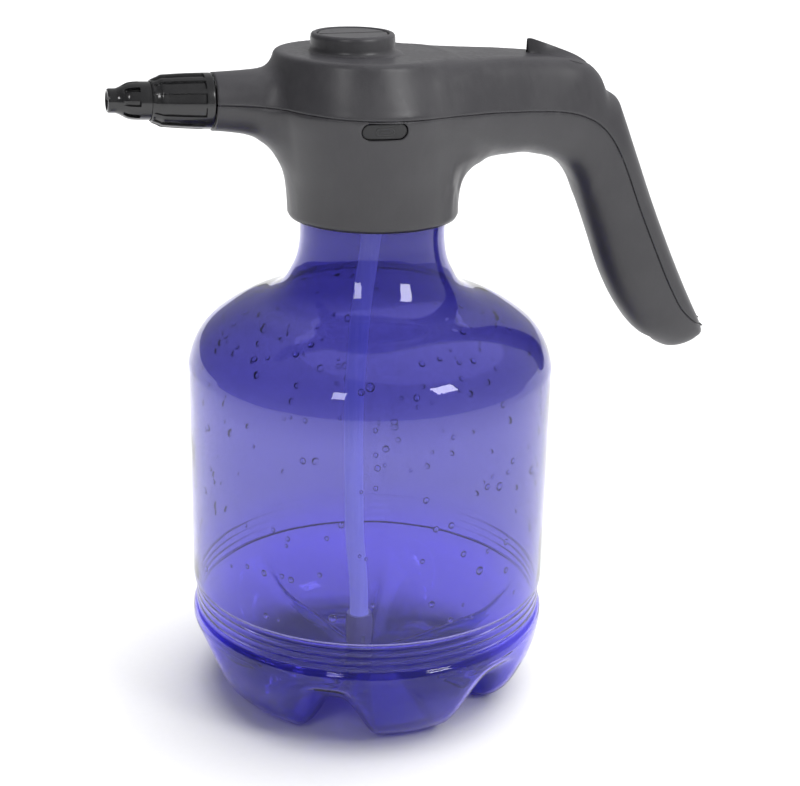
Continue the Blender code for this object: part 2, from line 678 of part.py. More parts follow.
def finish_upper(upper):
    rim_in = RIM_R - RIM_WALL
    rim = turned("rim", ((0, RIM_TOP_Z), (RIM_R - 0.6, RIM_TOP_Z), (RIM_R, RIM_TOP_Z - 0.6),
                         (RIM_R, TOP_Z + 2.2), (RIM_R + 0.7, TOP_Z + 0.8),
                         (RIM_R + 2.4, TOP_Z - 0.4), (RIM_R + 2.4, TOP_Z - 1.6),
                         (0, TOP_Z - 1.6)), 32)
    rim = as_mesh(rim)
    well = cylinder("well", rim_in, TOP_Z - 8.0, RIM_TOP_Z + 5.0, 32)
    for tool in (rim, well):
        tool.data.transform(Matrix.Translation((BUTTON_X * MM, 0, 0)))
    fin = flat_prism("thumb_fin", ((65.0, 262.0), (65.0, 274.6), (66.0, 275.4), (69.5, 274.5),
                                   (74.5, 272.7), (79.5, 271.0), (83.5, 269.2), (87.5, 266.4),
                                   (85.0, 262.0)), 3.5)
    tools = [(rim, "rim", "UNION"), (fin, "thumb_fin", "UNION"), (well, "well", "DIFFERENCE")]
    for index, (x, y) in enumerate(board_screw_places()):
        post = cylinder("board_post", 2.6, BOARD_TOP_Z + GAP, TOP_Z - SHELL_WALL + 1.0, 12)
        pilot = cylinder("board_pilot", 1.2, BOARD_TOP_Z - 1.0, TOP_Z - 1.2, 10)
        for tool in (post, pilot):
            tool.data.transform(Matrix.Translation((x * MM, y * MM, 0)))
        tools.append((post, f"board_post_{index}", "UNION"))
        tools.append((pilot, f"board_pilot_{index}", "DIFFERENCE"))
    for name, at, turn in case_screw_places():
        reach = CASE_SCREW_REACH[name]
        boss = cylinder(name, 3.4, CASE_BOSS_MEET, reach, 14)
        screw_end = CASE_SEAT_DEPTH + CASE_SCREW_LENGTH
        pilot = cylinder(name, CASE_SCREW_R + GAP, CASE_BOSS_MEET - 3.0, screw_end + 1.0, 12)
        for tool, kind, operation in ((boss, "boss", "UNION"), (pilot, "pilot", "DIFFERENCE")):
            tool.data.transform(frame_at(at, turn))
            tools.append((tool, f"{name}_{kind}", operation))
    for tool, name, operation in tools:
        as_cutter(tool, name)
        bool_with(upper, tool, operation)
    place(as_part(upper, "upper_shell", "charcoal_abs"))
    tie_cutters([name for _, name, _ in tools])


def tie_cutters(names):
    """Cutters stand in the assembly's frame, as the pieces that they shape do."""
    for name in names:
        bpy.data.objects[name].parent = ASSEMBLY


def frame_at(at, turn):
    """A frame at a point (x, z) of the side view, its +Z turned about Y from straight up."""
    return Matrix.Translation((at[0] * MM, 0, at[1] * MM)) @ Matrix.Rotation(turn, 4, "Y")


def case_screw_places():
    """Name, where the screw enters the lower shell (x, z) and its lean from straight up."""
    return (
        ("case_screw_arch", (60.0, 229.8), 0.0),
        ("case_screw_grip", (127.0, 144.6), math.pi / 2 - GRIP_SLOPE + math.radians(12)),
    )




def pump_screw_places():
    return ((14.0, -17.5), (14.0, 17.5))


def board_screw_places():
    return ((BUTTON_X - RIM_R - 4.2, 0.0), (BUTTON_X + RIM_R + 5.0, 0.0))


NOZZLE_LOCAL = Matrix.Translation((MOUTH_X * MM, 0, MOUTH_AXIS_Z * MM)) @ Matrix.Rotation(
    NOZZLE_RISE - math.pi / 2, 4, "Y")


# ---------------------------------------------------------------- button and board
def make_button():
    radius = RIM_R - RIM_WALL - BUTTON_CLEAR
    top = RIM_TOP_Z - 0.3
    under = top - 2.2
    foot = top - BUTTON_SKIRT
    profile = ((0, top), (radius - 0.8, top), (radius, top - 0.8), (radius, foot),
               (radius - BUTTON_WALL, foot), (radius - BUTTON_WALL, under), (2.0, under),
               (2.0, BUTTON_STEM_Z), (0, BUTTON_STEM_Z))
    button = as_mesh(turned("power_button", profile, 32))
    groove = block("button_groove", (-20.0, -0.8, top - 0.8), (20.0, 0.8, top + 3.0))
    as_cutter(groove, "button_groove")
    bool_with(button, groove)
    place(as_part(button, "power_button", "charcoal_abs"), (BUTTON_X, 0, 0))
    place(groove, (BUTTON_X, 0, 0))


SWITCH_TOP_Z = BOARD_TOP_Z + GAP + 3.4
BUTTON_STEM_Z = SWITCH_TOP_Z + GAP + BUTTON_TRAVEL
SPRING_R = 6.0


def make_spring():
    wire = 0.5
    low = BOARD_TOP_Z + GAP + wire
    high = RIM_TOP_Z - 0.3 - 2.2 - GAP - wire
    turns, per_turn = 4, 10
    count = turns * per_turn + 1
    angle = np.arange(count) * 2 * math.pi / per_turn
    path = np.stack([SPRING_R * np.cos(angle), SPRING_R * np.sin(angle),
                     np.linspace(low, high, count)], -1)
    curve = bpy.data.curves.new("button_spring", "CURVE")
    curve.dimensions = "3D"
    curve.bevel_depth = wire * MM
    curve.bevel_resolution = 1
    curve.use_fill_caps = True
    spline = curve.splines.new("POLY")
    spline.points.add(count - 1)
    for point, (x, y, z) in zip(spline.points, path):
        point.co = (x * MM, y * MM, z * MM, 1.0)
    spring = bpy.data.objects.new("button_spring", curve)
    place(as_part(spring, "button_spring", "steel"), (BUTTON_X, 0, 0))


def make_board():
    low = BOARD_TOP_Z - BOARD_THICK
    x_low, x_high = BUTTON_X - RIM_R - 7.5, BUTTON_X + RIM_R + 8.5
    board = block("circuit_board", (x_low, -13.0, low), (x_high, 13.0, BOARD_TOP_Z))
    holes = []
    for index, (x, y) in enumerate(board_screw_places()):
        hole = cylinder(f"board_hole_{index}", 1.3, low - 2.0, BOARD_TOP_Z + 2.0, 12)
        hole.data.transform(Matrix.Translation((x * MM, y * MM, 0)))
        as_cutter(hole, f"board_hole_{index}")
        bool_with(board, hole)
        holes.append(hole.name)
        screw_piece(f"board_screw_{index + 1}", "steel", 2.0, 1.0, 3.4,
                    (x, y, low - GAP), (math.pi, 0, 0))
    place(as_part(board, "circuit_board", "green_board"))
    tie_cutters(holes)
    base = BOARD_TOP_Z + GAP
    switch = block("tact_switch", (-3.0, -3.0, base), (3.0, 3.0, base + 2.2), 0.3)
    stub = as_cutter(cylinder("switch_stub", 1.6, base + 1.5, SWITCH_TOP_Z, 16), "switch_stub")
    switch = bool_with(switch, stub, "UNION")
    place(as_part(switch, "tact_switch", "black_plastic"), (BUTTON_X, 0, 0))
    place(stub, (BUTTON_X, 0, 0))


# ---------------------------------------------------------------- charging port
def port_face_y():
    """The head's near face at the port's middle."""
    shift = TOP_SHIFT * smoothstep(COLLAR_Z, TOP_Z, PORT_Z)
    radius = np.interp(PORT_Z, (242.0, SEAM_Z), (COLLAR_R + 4.0, SEAM_R))
    return -math.sqrt(radius**2 - (PORT_X - shift) ** 2)


def stadium(name, length, height, y_low, y_high):
    """A flat oval with round ends, through Y from y_low to y_high, centred on the port."""
    radius, run = height / 2, length / 2 - height / 2
    outline = []
    for centre, begin in ((run, -90), (-run, 90)):
        for step in range(7):
            a = math.radians(begin + 30 * step)
            outline.append((PORT_X + centre + radius * math.cos(a), PORT_Z + radius * math.sin(a)))
    made = flat_prism(name, outline, (y_high - y_low) / 2)
    made.data.transform(Matrix.Translation((0, (y_low + y_high) / 2 * MM, 0)))
    return made


def make_port():
    wall_y = port_face_y()
    flap = stadium("port_cover", PORT_LENGTH, PORT_HEIGHT, wall_y - 6.0, wall_y + FLAP_THICK + 0.6)
    skin = as_cutter(loft("port_skin", bell(0.0, COLLAR_Z)), "port_skin")
    bool_with(flap, skin, "INTERSECT")
    plug = as_cutter(block("port_plug", (PORT_X - 4.2, wall_y + FLAP_THICK, PORT_Z - 1.3),
                           (PORT_X + 4.2, wall_y + 5.0, PORT_Z + 1.3)), "port_plug")
    bool_with(flap, plug, "UNION")
    flap = as_mesh(flap)
    hinge = Vector((PORT_X + PORT_LENGTH / 2, wall_y, PORT_Z))
    flap.data.transform(Matrix.Translation(-hinge * MM))
    place(as_part(flap, "port_cover", "black_rubber"), hinge)
    mouth_y = wall_y + 7.0
    socket = block("usb_socket", (PORT_X - 4.5, mouth_y, PORT_Z - 1.6),
                   (PORT_X + 4.5, mouth_y + 7.2, PORT_Z + 1.6), 0.5)
    throat = as_cutter(block("usb_throat", (PORT_X - 3.9, mouth_y - 2.0, PORT_Z - 1.0),
                             (PORT_X + 3.9, mouth_y + 5.6, PORT_Z + 1.0)), "usb_throat")
    bool_with(socket, throat)
    place(as_part(socket, "usb_socket", "steel"))
    throat.parent = ASSEMBLY
    board = block("charge_board", (PORT_X - 10.0, mouth_y + 0.5, PORT_Z - 3.2),
                  (PORT_X + 10.0, mouth_y + 15.0, PORT_Z - 1.9))
    place(as_part(board, "charge_board", "green_board"))


# ---------------------------------------------------------------- pump and motor
def along_x(shape, x_low, z):
    """Lays a piece that was turned about Z along +X, from x_low at the height z."""
    shape.data.transform(Matrix.Translation((x_low * MM, 0, z * MM))
                         @ Matrix.Rotation(math.pi / 2, 4, "Y"))
    return shape


def make_pump():
    half = PUMP_SIDE / 2
    x = -PUMP_HEAD_LENGTH / 2
    head = block("pump_head", (x, -half, PUMP_Z - half), (-x, half, PUMP_Z + half), 1.6)
    outlet = along_x(cylinder("pump_outlet", 1.8, -9.0, 2.0, 16), x, PUMP_Z + 6.5)
    as_cutter(outlet, "pump_outlet")
    bool_with(head, outlet, "UNION")
    place(as_part(head, "pump_head", "white_plastic"))
    outlet.parent = ASSEMBLY
    crank_x = -x + GAP
    house = block("pump_housing", (crank_x, -half, PUMP_Z - half),
                  (crank_x + CRANK_LENGTH, half, PUMP_Z + half), 1.2)
    room = along_x(cylinder("crank_room", 9.0, 2.0, CRANK_LENGTH - 2.0, 24), crank_x, PUMP_Z)
    door = along_x(cylinder("crank_door", 4.0, CRANK_LENGTH - 4.0, CRANK_LENGTH + 4.0, 20),
                   crank_x, PUMP_Z)
    for tool in (room, door):
        as_cutter(tool, tool.name)
        bool_with(house, tool)
    place(as_part(house, "pump_housing", "black_plastic"))
    tie_cutters([room.name, door.name])
    motor_x = crank_x + CRANK_LENGTH + GAP
    make_motor(motor_x)
    shaft_low = crank_x + 4.0
    shaft = along_x(cylinder("motor_shaft", SHAFT_R, 0.0, motor_x + 8.0 - shaft_low, 16),
                    0.0, 0.0)
    place(as_part(shaft, "motor_shaft", "steel"), (shaft_low, 0, PUMP_Z))
    cam = turned("eccentric_cam", ((4.6, 5.0), (5.0, 4.6), (5.0, 0.4), (4.6, 0.0),
                                   (SHAFT_R + GAP, 0.0), (SHAFT_R + GAP, 5.0)), 20, ring=True)
    cam = along_x(as_mesh(cam), 0.0, 0.0)
    for vertex in cam.data.vertices:
        if math.hypot(vertex.co.y, vertex.co.z) > 3.0 * MM:
            vertex.co.z += 1.2 * MM
    place(as_part(cam, "eccentric_cam", "brass"), (crank_x + 4.5, 0, PUMP_Z))
    bracket = block("pump_bracket", (8.6, -21.0, DECK_Z + DECK_THICK + POST_RISE + GAP),
                    (20.5, 21.0, PUMP_Z - half - GAP))
    holes = []
    for index, (sx, sy) in enumerate(pump_screw_places()):
        hole = cylinder(f"bracket_hole_{index}", 1.6, DECK_Z, PUMP_Z, 12)
        hole.data.transform(Matrix.Translation((sx * MM, sy * MM, 0)))
        as_cutter(hole, hole.name)
        bool_with(bracket, hole)
        holes.append(hole.name)
        screw_piece(f"pump_screw_{index + 1}", "steel", 2.6, 1.1, 3.7,
                    (sx, sy, PUMP_Z - half))
    place(as_part(bracket, "pump_bracket", "steel"))
    tie_cutters(holes)


def make_motor(motor_x):
    end = MOTOR_LENGTH
    profile = ((0, 0), (3.0, 0), (3.0, 1.0), (MOTOR_R - 0.8, 1.0), (MOTOR_R, 1.8),
               (MOTOR_R, end - 2.6), (MOTOR_R - 0.8, end - 1.8), (3.4, end - 1.8),
               (3.4, end), (0, end))
    motor = as_mesh(turned("dc_motor", profile, 28))
    hole = as_cutter(cylinder("motor_hole", SHAFT_R + GAP, -3.0, 9.0, 16), "motor_hole")
    bool_with(motor, hole)
    motor = as_mesh(motor)
    along_x(motor, motor_x, PUMP_Z)
    along_x(hole, motor_x, PUMP_Z)
    place(as_part(motor, "dc_motor", "steel"))
    hole.parent = ASSEMBLY


# ---------------------------------------------------------------- suction line
def make_suction():
    low = DECK_Z - 9.0
    top = PUMP_Z - PUMP_SIDE / 2 - GAP
    flange = DECK_Z + DECK_THICK + GAP
    barb = TUBE_BORE_R - GAP
    profile = ((1.2, top), (TUBE_R + 2.4, top), (TUBE_R + 2.4, flange), (TUBE_R, flange),
               (TUBE_R, DECK_Z - 1.5), (barb, DECK_Z - 1.5), (barb, low), (1.2, low))
    place(as_part(turned("inlet_fitting", profile, 20, ring=True), "inlet_fitting",
                  "white_plastic"))
    strainer_top = STRAINER_Z + STRAINER_HEIGHT
    path = ((0, 0, TUBE_TOP_Z), (-0.2, 0, 205.0), (-4.5, 0, 165.0), (TUBE_BOW_X, 0, 120.0),
            (-6.2, 0, 70.0), (STRAINER_X - 0.4, 0, strainer_top + 12),
            (STRAINER_X, 0, strainer_top - 4.0))
    tube = as_mesh(rod("suction_tube", path, TUBE_R, 12, 22.0))
    longer = ((0, 0, TUBE_TOP_Z + 6),) + path + ((STRAINER_X, 0, strainer_top - 12.0),)
    bore = as_mesh(rod("tube_bore", longer, TUBE_BORE_R, 10, 22.0))
    as_cutter(bore, "tube_bore")
    bool_with(tube, bore)
    place(as_part(tube, "suction_tube", "milky_tube"))
    bore.parent = ASSEMBLY
    socket = TUBE_R + GAP
    ledge = strainer_top - 5.0
    profile = ((socket + 1.2, strainer_top), (STRAINER_R, ledge), (STRAINER_R - 0.6, STRAINER_Z),
               (STRAINER_R - 2.0, STRAINER_Z), (STRAINER_R - 1.6, ledge - 2.0),
               (socket - 1.0, ledge - 0.5), (socket - 1.0, ledge - GAP), (socket, ledge - GAP),
               (socket, strainer_top))
    body = as_mesh(turned("strainer_body", profile, 24, ring=True))
    slots = []
    for index in range(4):
        slot = block(f"strainer_slot_{index}", (2.0, -0.9, STRAINER_Z + 2.0),
                     (STRAINER_R + 2.0, 0.9, STRAINER_Z + 7.0))
        slot.data.transform(Matrix.Rotation(index * math.pi / 2, 4, "Z"))
        as_cutter(slot, slot.name)
        bool_with(body, slot)
        place(slot, (STRAINER_X, 0, 0))
        slots.append(slot)
    place(as_part(body, "strainer_body", "white_plastic"), (STRAINER_X, 0, 0))
    inside, rim = STRAINER_R - 2.4, STRAINER_R - 0.8
    plug = turned("strainer_cap", ((0, STRAINER_Z + 1.6), (inside, STRAINER_Z + 1.6),
                                   (inside, STRAINER_Z - GAP), (rim, STRAINER_Z - GAP),
                                   (rim - 0.6, STRAINER_Z - 1.6), (0, STRAINER_Z - 1.6)), 20)
    place(as_part(plug, "strainer_cap", "white_plastic"), (STRAINER_X, 0, 0))
    top_z, under_z = DECK_Z + DECK_THICK, DECK_Z
    valve = turned("air_valve", ((0, top_z + 1.6), (2.6, top_z + 1.6), (2.6, top_z + GAP),
                                 (1.2, top_z + GAP), (1.2, under_z - GAP), (3.0, under_z - GAP),
                                 (3.0, under_z - 0.9), (0, under_z - 1.5)), 16)
    place(as_part(valve, "air_valve", "black_rubber"), (VENT_X, 0, 0))


# ---------------------------------------------------------------- battery and leads
def make_battery():
    half = CELL_LENGTH / 2
    cell = turned("battery_cell", ((0, half), (2.8, half), (2.8, half - 1.2),
                                   (CELL_R - 0.7, half - 1.2), (CELL_R, half - 1.9),
                                   (CELL_R, -half + 0.7), (CELL_R - 0.7, -half), (0, -half)), 28)
    place(as_part(cell, "battery_cell", "cell_wrap"), parent=GRIP_FRAME)
    for name, low, high in (("battery_contact_top", half + GAP, half + GAP + 0.8),
                            ("battery_contact_end", -half - GAP - 0.8, -half - GAP)):
        plate = block(name, (-6.0, -6.0, low), (6.0, 6.0, high), 0.2)
        place(as_part(plate, name, "brass"), parent=GRIP_FRAME)


def make_leads():
    high = BOARD_TOP_Z - BOARD_THICK - GAP
    motor_end = PUMP_HEAD_LENGTH / 2 + CRANK_LENGTH + MOTOR_LENGTH + 3 * GAP + 1.4
    board_end = BUTTON_X + RIM_R + 3.0
    half = CELL_LENGTH / 2
    up_x, up_z = -math.cos(GRIP_SLOPE), math.sin(GRIP_SLOPE)
    top = (CELL_CENTRE[0] + up_x * (half + 2.4), CELL_CENTRE[1] + up_z * (half + 2.4))
    low = (CELL_CENTRE[0] - up_x * (half - 6.0), CELL_CENTRE[1] - up_z * (half - 6.0))
    beside = CELL_R + LEAD_R + GAP
    leads = {
        "motor_lead_red": ("red_wire", [
            (motor_end, -7.0, PUMP_Z + 3), (motor_end + 3, -7.5, PUMP_Z + 10),
            (motor_end - 6, -8.0, high - 1.6), (board_end, -7.5, high - 1.0)]),
        "motor_lead_black": ("black_wire", [
            (motor_end, 7.0, PUMP_Z + 3), (motor_end + 3, 7.5, PUMP_Z + 10),
            (motor_end - 6, 8.0, high - 1.6), (board_end, 7.5, high - 1.0)]),
        "battery_lead_red": ("red_wire", [
            (top[0], 0.0, top[1]), (top[0] - 5.0, 0.5, top[1] + 13.0), (80.0, -3.5, 255.0),
            (62.0, -6.0, high - 3.0), (board_end, -2.5, high - 1.0)]),
        "battery_lead_black": ("black_wire", [
            (low[0], beside, low[1]), (CELL_CENTRE[0], beside, CELL_CENTRE[1]),
            (top[0] + 1.5, beside, top[1] - 4.0), (top[0] - 6.0, 8.0, top[1] + 14.0),
            (79.0, 7.0, 254.0), (62.0, 6.0, high - 3.0), (board_end, 2.5, high - 1.0)]),
    }
    for name, (finish, path) in leads.items():
        place(as_part(rod(name, path, LEAD_R, 6, 9.0), name, finish))


# ---------------------------------------------------------------- nozzle
def make_nozzle():
    thread_r = STEM_R + 0.7
    flange_z = -11.5
    stem_profile = ((PIN_R, 21.0), (PIN_R, 15.0), (STEM_R, 15.0), (STEM_R, flange_z),
                    (STEM_R + 3.0, flange_z), (STEM_R + 3.0, flange_z - 1.6), (2.9, flange_z - 1.6),
                    (2.9, flange_z - 3.0), (1.8, flange_z - 3.0), (1.8, flange_z - 9.0),
                    (1.1, flange_z - 9.0), (1.1, 21.0))
    stem = as_mesh(turned("nozzle_stem", stem_profile, 16, ring=True))
    ridge = helix_ridge("stem_thread", STEM_R, thread_r, STEM_THREAD_Z, NOZZLE_THREAD_PITCH, 2.0,
                        1.0, 16)
    as_cutter(ridge, "stem_thread")
    bool_with(stem, ridge, "UNION")
    place(as_part(stem, "nozzle_stem", "black_plastic"), parent=NOZZLE_FRAME)
    place(ridge, parent=NOZZLE_FRAME)

    core = turned("swirl_core", ((0, 27.2), (1.6, 26.6), (3.2, 24.6), (3.2, 21.3), (0, 21.3)), 16)
    place(as_part(core, "swirl_core", "white_plastic"), parent=NOZZLE_FRAME)

    ring_major, ring_minor = (PIN_R + STEM_R + 1.1) / 2, (STEM_R + 1.1 - PIN_R) / 2 - 0.28
    shape = [(ring_major + ring_minor * math.cos(a), 17.0 + ring_minor * math.sin(a))
             for a in np.radians(np.arange(0, -360, -60))]
    place(as_part(turned("nozzle_o_ring", shape, 20, ring=True), "nozzle_o_ring", "black_rubber"),
          parent=NOZZLE_FRAME)
    make_sleeve(thread_r)
    make_tip()


def make_sleeve(thread_r):
    bore_r = thread_r + 0.4
    front_r = NOZZLE_MID_R + GAP
    profile = ((NOZZLE_MID_R + 0.9, SHOULDER_END - 0.6),
               (SLEEVE_FRONT_R - 0.5, SLEEVE_END + 0.6), (SLEEVE_FRONT_R, SLEEVE_END - 0.6),
               (SLEEVE_REAR_R, 0.9), (SLEEVE_REAR_R - 0.4, 0.5), (bore_r, 0.5),
               (bore_r, 18.3), (front_r, 18.3), (front_r, SHOULDER_END - 0.6))
    sleeve = as_mesh(turned("nozzle_sleeve", profile, 24, ring=True))
    ridge = helix_ridge("sleeve_thread", bore_r, bore_r - 0.7,
                        STEM_THREAD_Z + 0.75 * NOZZLE_THREAD_PITCH, NOZZLE_THREAD_PITCH, 1.5, 1.0,
                        16, start=math.pi / 2)
    as_cutter(ridge, "sleeve_thread")
    bool_with(sleeve, ridge, "UNION")
    place(ridge, parent=NOZZLE_FRAME)
    for index in range(RIB_COUNT):
        panel = block(f"sleeve_panel_{index}", (SLEEVE_FRONT_R - 0.75, -1.7, 3.9),
                      (SLEEVE_REAR_R + 3.0, 1.7, SHOULDER_END + 3.0))
        panel.data.transform(Matrix.Rotation(math.radians(-2.6), 4, "Y"))
        panel.data.transform(Matrix.Rotation(2 * math.pi * (index + 0.5) / RIB_COUNT, 4, "Z"))
        as_cutter(panel, panel.name)
        bool_with(sleeve, panel)
        place(panel, parent=NOZZLE_FRAME)
    place(as_part(sleeve, "nozzle_sleeve", "black_plastic"), parent=NOZZLE_FRAME)


def make_tip():
    tail = 18.3 + GAP
    room_r = 5.4
    profile = ((1.9, NOZZLE_LENGTH - 2.6), (3.2, NOZZLE_LENGTH), (TIP_R - 0.4, NOZZLE_LENGTH),
               (TIP_R, NOZZLE_LENGTH - 0.4), (TIP_R, CONE_END), (NOZZLE_MID_R - 1.0, CAGE_END - 0.4),
               (NOZZLE_MID_R - 0.2, CAGE_END - 2.6), (NOZZLE_MID_R, SHOULDER_END),
               (NOZZLE_MID_R, tail), (room_r, tail), (room_r, 29.5), (1.0, 30.6), (1.0, NOZZLE_LENGTH - 2.6))
    tip = as_mesh(turned("nozzle_tip", profile, 24, ring=True))
    for index in range(WINDOW_COUNT):
        window = block(f"tip_window_{index}", (NOZZLE_MID_R - 1.3, -1.0, 28.4),
                       (NOZZLE_MID_R + 3.0, 1.0, 33.4))
        window.data.transform(Matrix.Rotation(2 * math.pi * index / WINDOW_COUNT, 4, "Z"))
        as_cutter(window, window.name)
        bool_with(tip, window)
        place(window, parent=NOZZLE_FRAME)
    place(as_part(tip, "nozzle_tip", "black_plastic"), parent=NOZZLE_FRAME)


def make_hose():
    """From the stem's barb to the pump's outlet, over both."""
    rise = PUMP_Z + 6.5
    stem_end = NOZZLE_LOCAL @ Vector((0, 0, -15.3 * MM)) / MM
    into_stem = NOZZLE_LOCAL @ Vector((0, 0, -20.5 * MM)) / MM
    pump_x = -PUMP_HEAD_LENGTH / 2
    path = [tuple(stem_end), tuple(into_stem), (-36.0, 0, 254.8), (-24.0, 0, rise),
            (pump_x - 8.0, 0, rise), (pump_x - 2.2, 0, rise)]
    hose = as_mesh(rod("outlet_hose", path, 3.2, 12, 9.0))
    first, last = Vector(path[0]), Vector(path[-1])
    longer = [tuple(first + (first - Vector(path[1])))] + path + [tuple(last + Vector((5, 0, 0)))]
    bore = as_mesh(rod("hose_bore", longer, 2.15, 10, 9.0))
    as_cutter(bore, "hose_bore")
    bool_with(hose, bore)
    place(as_part(hose, "outlet_hose", "milky_tube"))
    bore.parent = ASSEMBLY


def make_case_screws():
    for name, at, turn in case_screw_places():
        seat = frame_at(at, turn) @ Vector((0, 0, CASE_SEAT_DEPTH * MM)) / MM
        screw_piece(name, "steel", CASE_SCREW_HEAD_R, CASE_SCREW_R, CASE_SCREW_LENGTH, seat,
                    (math.pi, turn, 0))


make_bottle()
make_gasket()
make_shells()
make_button()
make_spring()
make_board()
make_port()
make_pump()
make_suction()
make_battery()
make_leads()
make_nozzle()
make_hose()
make_case_screws()
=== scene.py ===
# %% [markdown]
# # A battery pump sprayer, built around its own mechanism
# The real thing is a clear plastic bottle with a screwed-on head. The head holds a button,
# a motor pump and a battery, and ends in a nozzle at the front and a grip at the back.
# The mechanism comes ready made: the motor, boards and screws are already in the frame that is
# loaded below, in metres. What follows adds the surfaces that a hand and an eye meet.
# Everything is worked out from a few sizes, as whole arrays of points.

# %% The frame that everything is built around
import json
import math

import bpy
import numpy as np
from mathutils import Matrix, Vector

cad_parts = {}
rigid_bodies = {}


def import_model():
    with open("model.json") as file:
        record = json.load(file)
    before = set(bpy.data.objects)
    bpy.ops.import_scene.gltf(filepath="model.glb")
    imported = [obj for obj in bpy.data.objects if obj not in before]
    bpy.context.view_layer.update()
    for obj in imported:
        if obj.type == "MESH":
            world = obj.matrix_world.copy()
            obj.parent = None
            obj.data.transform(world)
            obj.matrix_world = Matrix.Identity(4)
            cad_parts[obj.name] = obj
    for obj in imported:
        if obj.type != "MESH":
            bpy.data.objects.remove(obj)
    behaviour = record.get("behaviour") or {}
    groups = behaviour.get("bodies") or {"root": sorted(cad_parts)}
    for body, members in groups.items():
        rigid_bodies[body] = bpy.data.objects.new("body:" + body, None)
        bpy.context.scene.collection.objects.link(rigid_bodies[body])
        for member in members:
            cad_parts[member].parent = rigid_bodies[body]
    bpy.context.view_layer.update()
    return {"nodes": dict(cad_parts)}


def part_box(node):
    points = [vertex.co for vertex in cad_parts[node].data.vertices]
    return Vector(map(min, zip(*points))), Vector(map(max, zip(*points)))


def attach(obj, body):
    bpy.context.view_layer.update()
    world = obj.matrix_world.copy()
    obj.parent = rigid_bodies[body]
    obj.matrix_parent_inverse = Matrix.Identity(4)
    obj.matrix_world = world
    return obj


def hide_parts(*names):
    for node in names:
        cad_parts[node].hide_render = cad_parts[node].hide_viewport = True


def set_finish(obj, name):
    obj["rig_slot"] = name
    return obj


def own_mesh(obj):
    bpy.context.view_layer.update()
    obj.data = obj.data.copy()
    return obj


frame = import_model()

MM = 0.001

# %% [markdown]
# ## Where things are
# The bottle's axis is the natural zero for every other measure, so sizes are given in
# millimetres from it: x towards the grip, y across, z up from the surface it stands on.
# The frame says where that axis is, so nothing has to be typed in twice.

# %% The bottle's axis, and millimetres to metres
AXIS_X = sum(corner.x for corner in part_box("bottle")) / 2 / MM


def in_frame(points):
    """Millimetres from the bottle's axis to metres in the frame: add the axis, then scale."""
    return (np.asarray(points, float) + (AXIS_X, 0.0, 0.0)) * MM


print(f"the bottle's axis stands at x = {AXIS_X:.2f} mm")

# %% [markdown]
# ## Small tools for shapes
# Nearly every moulded surface is a table of points, rows by columns: a ring that travels along
# a line, or a line that turns round an axis. One function eases from 0 to 1, one draws a smooth
# curve through a few given points without overshooting them, and others make the mesh.

# %% Curves
def ease(low, high, value):
    """0 below low, 1 above high, and 3t^2 - 2t^3 between them."""
    t = np.clip((np.asarray(value, float) - low) / (high - low), 0, 1)
    return t * t * (3 - 2 * t)


def through(knots, at):
    """A curve through knots (place, value, ...) read at other places.

    Between two knots it is the cubic whose slope at each knot is the harmonic mean of the
    slopes on its two sides, or level where they point different ways. So it never overshoots.
    """
    knots = np.asarray(knots, float)
    place, value = knots[:, 0], knots[:, 1:]
    gap = np.diff(place)[:, None]
    slope = np.diff(value, axis=0) / gap
    before, after = slope[:-1], slope[1:]
    both = before * after
    middle = np.where(both > 0, 2 * both / np.where(both > 0, before + after, 1), 0)
    tangent = np.vstack([slope[:1], middle, slope[-1:]])
    at = np.asarray(at, float)
    i = np.clip(np.searchsorted(place, at) - 1, 0, len(place) - 2)
    t = np.clip((at - place[i]) / gap[i, 0], 0, 1)[..., None]
    step = gap[i]
    found = (
        value[i] * (1 + 2 * t) * (1 - t) ** 2
        + tangent[i] * step * t * (1 - t) ** 2
        + value[i + 1] * t * t * (3 - 2 * t)
        - tangent[i + 1] * step * t * t * (1 - t)
    )
    return found[..., 0] if value.shape[1] == 1 else found


print("a curve through 0, 1, 1 at one half:", through([(0, 0), (1, 1), (2, 1)], 0.5))


# %% Meshes from arrays
def as_object(name, points, faces):
    """A mesh object of points in millimetres and faces as rows of point numbers."""
    mesh = bpy.data.meshes.new(name)
    faces = np.asarray(faces)
    mesh.vertices.add(len(points))
    mesh.vertices.foreach_set("co", in_frame(points).astype(np.float32).ravel())
    mesh.loops.add(faces.size)
    mesh.loops.foreach_set("vertex_index", faces.ravel().astype(np.int32))
    mesh.polygons.add(len(faces))
    mesh.polygons.foreach_set("loop_start", np.arange(len(faces), dtype=np.int32) * faces.shape[1])
    mesh.update(calc_edges=True)
    mesh.validate()
    made = bpy.data.objects.new(name, mesh)
    bpy.context.scene.collection.objects.link(made)
    return made


def cells(rows, columns, close_rows=False, close_columns=True):
    """The four corners of each cell of a table of points, as point numbers."""
    number = np.arange(rows * columns).reshape(rows, columns)
    if close_rows:
        number = np.vstack([number, number[:1]])
    if close_columns:
        number = np.hstack([number, number[:, :1]])
    corners = (number[:-1, :-1], number[:-1, 1:], number[1:, 1:], number[1:, :-1])
    return np.stack(corners, -1).reshape(-1, 4)


def smooth(thing, sharp_degrees=35):
    """Shades a mesh smooth, but leaves edges sharper than an angle crisp."""
    thing.data.shade_smooth()
    thing.data.set_sharp_from_angle(angle=math.radians(sharp_degrees))
    return thing


def together(*parts):
    """Several (points, faces) pairs as one."""
    start = np.cumsum([0] + [len(points) for points, _ in parts[:-1]])
    faces = [np.asarray(found) + first for (_, found), first in zip(parts, start)]
    return np.vstack([points for points, _ in parts]), np.vstack(faces)


print("a table of 3 by 4 points has", len(cells(3, 4)), "cells")

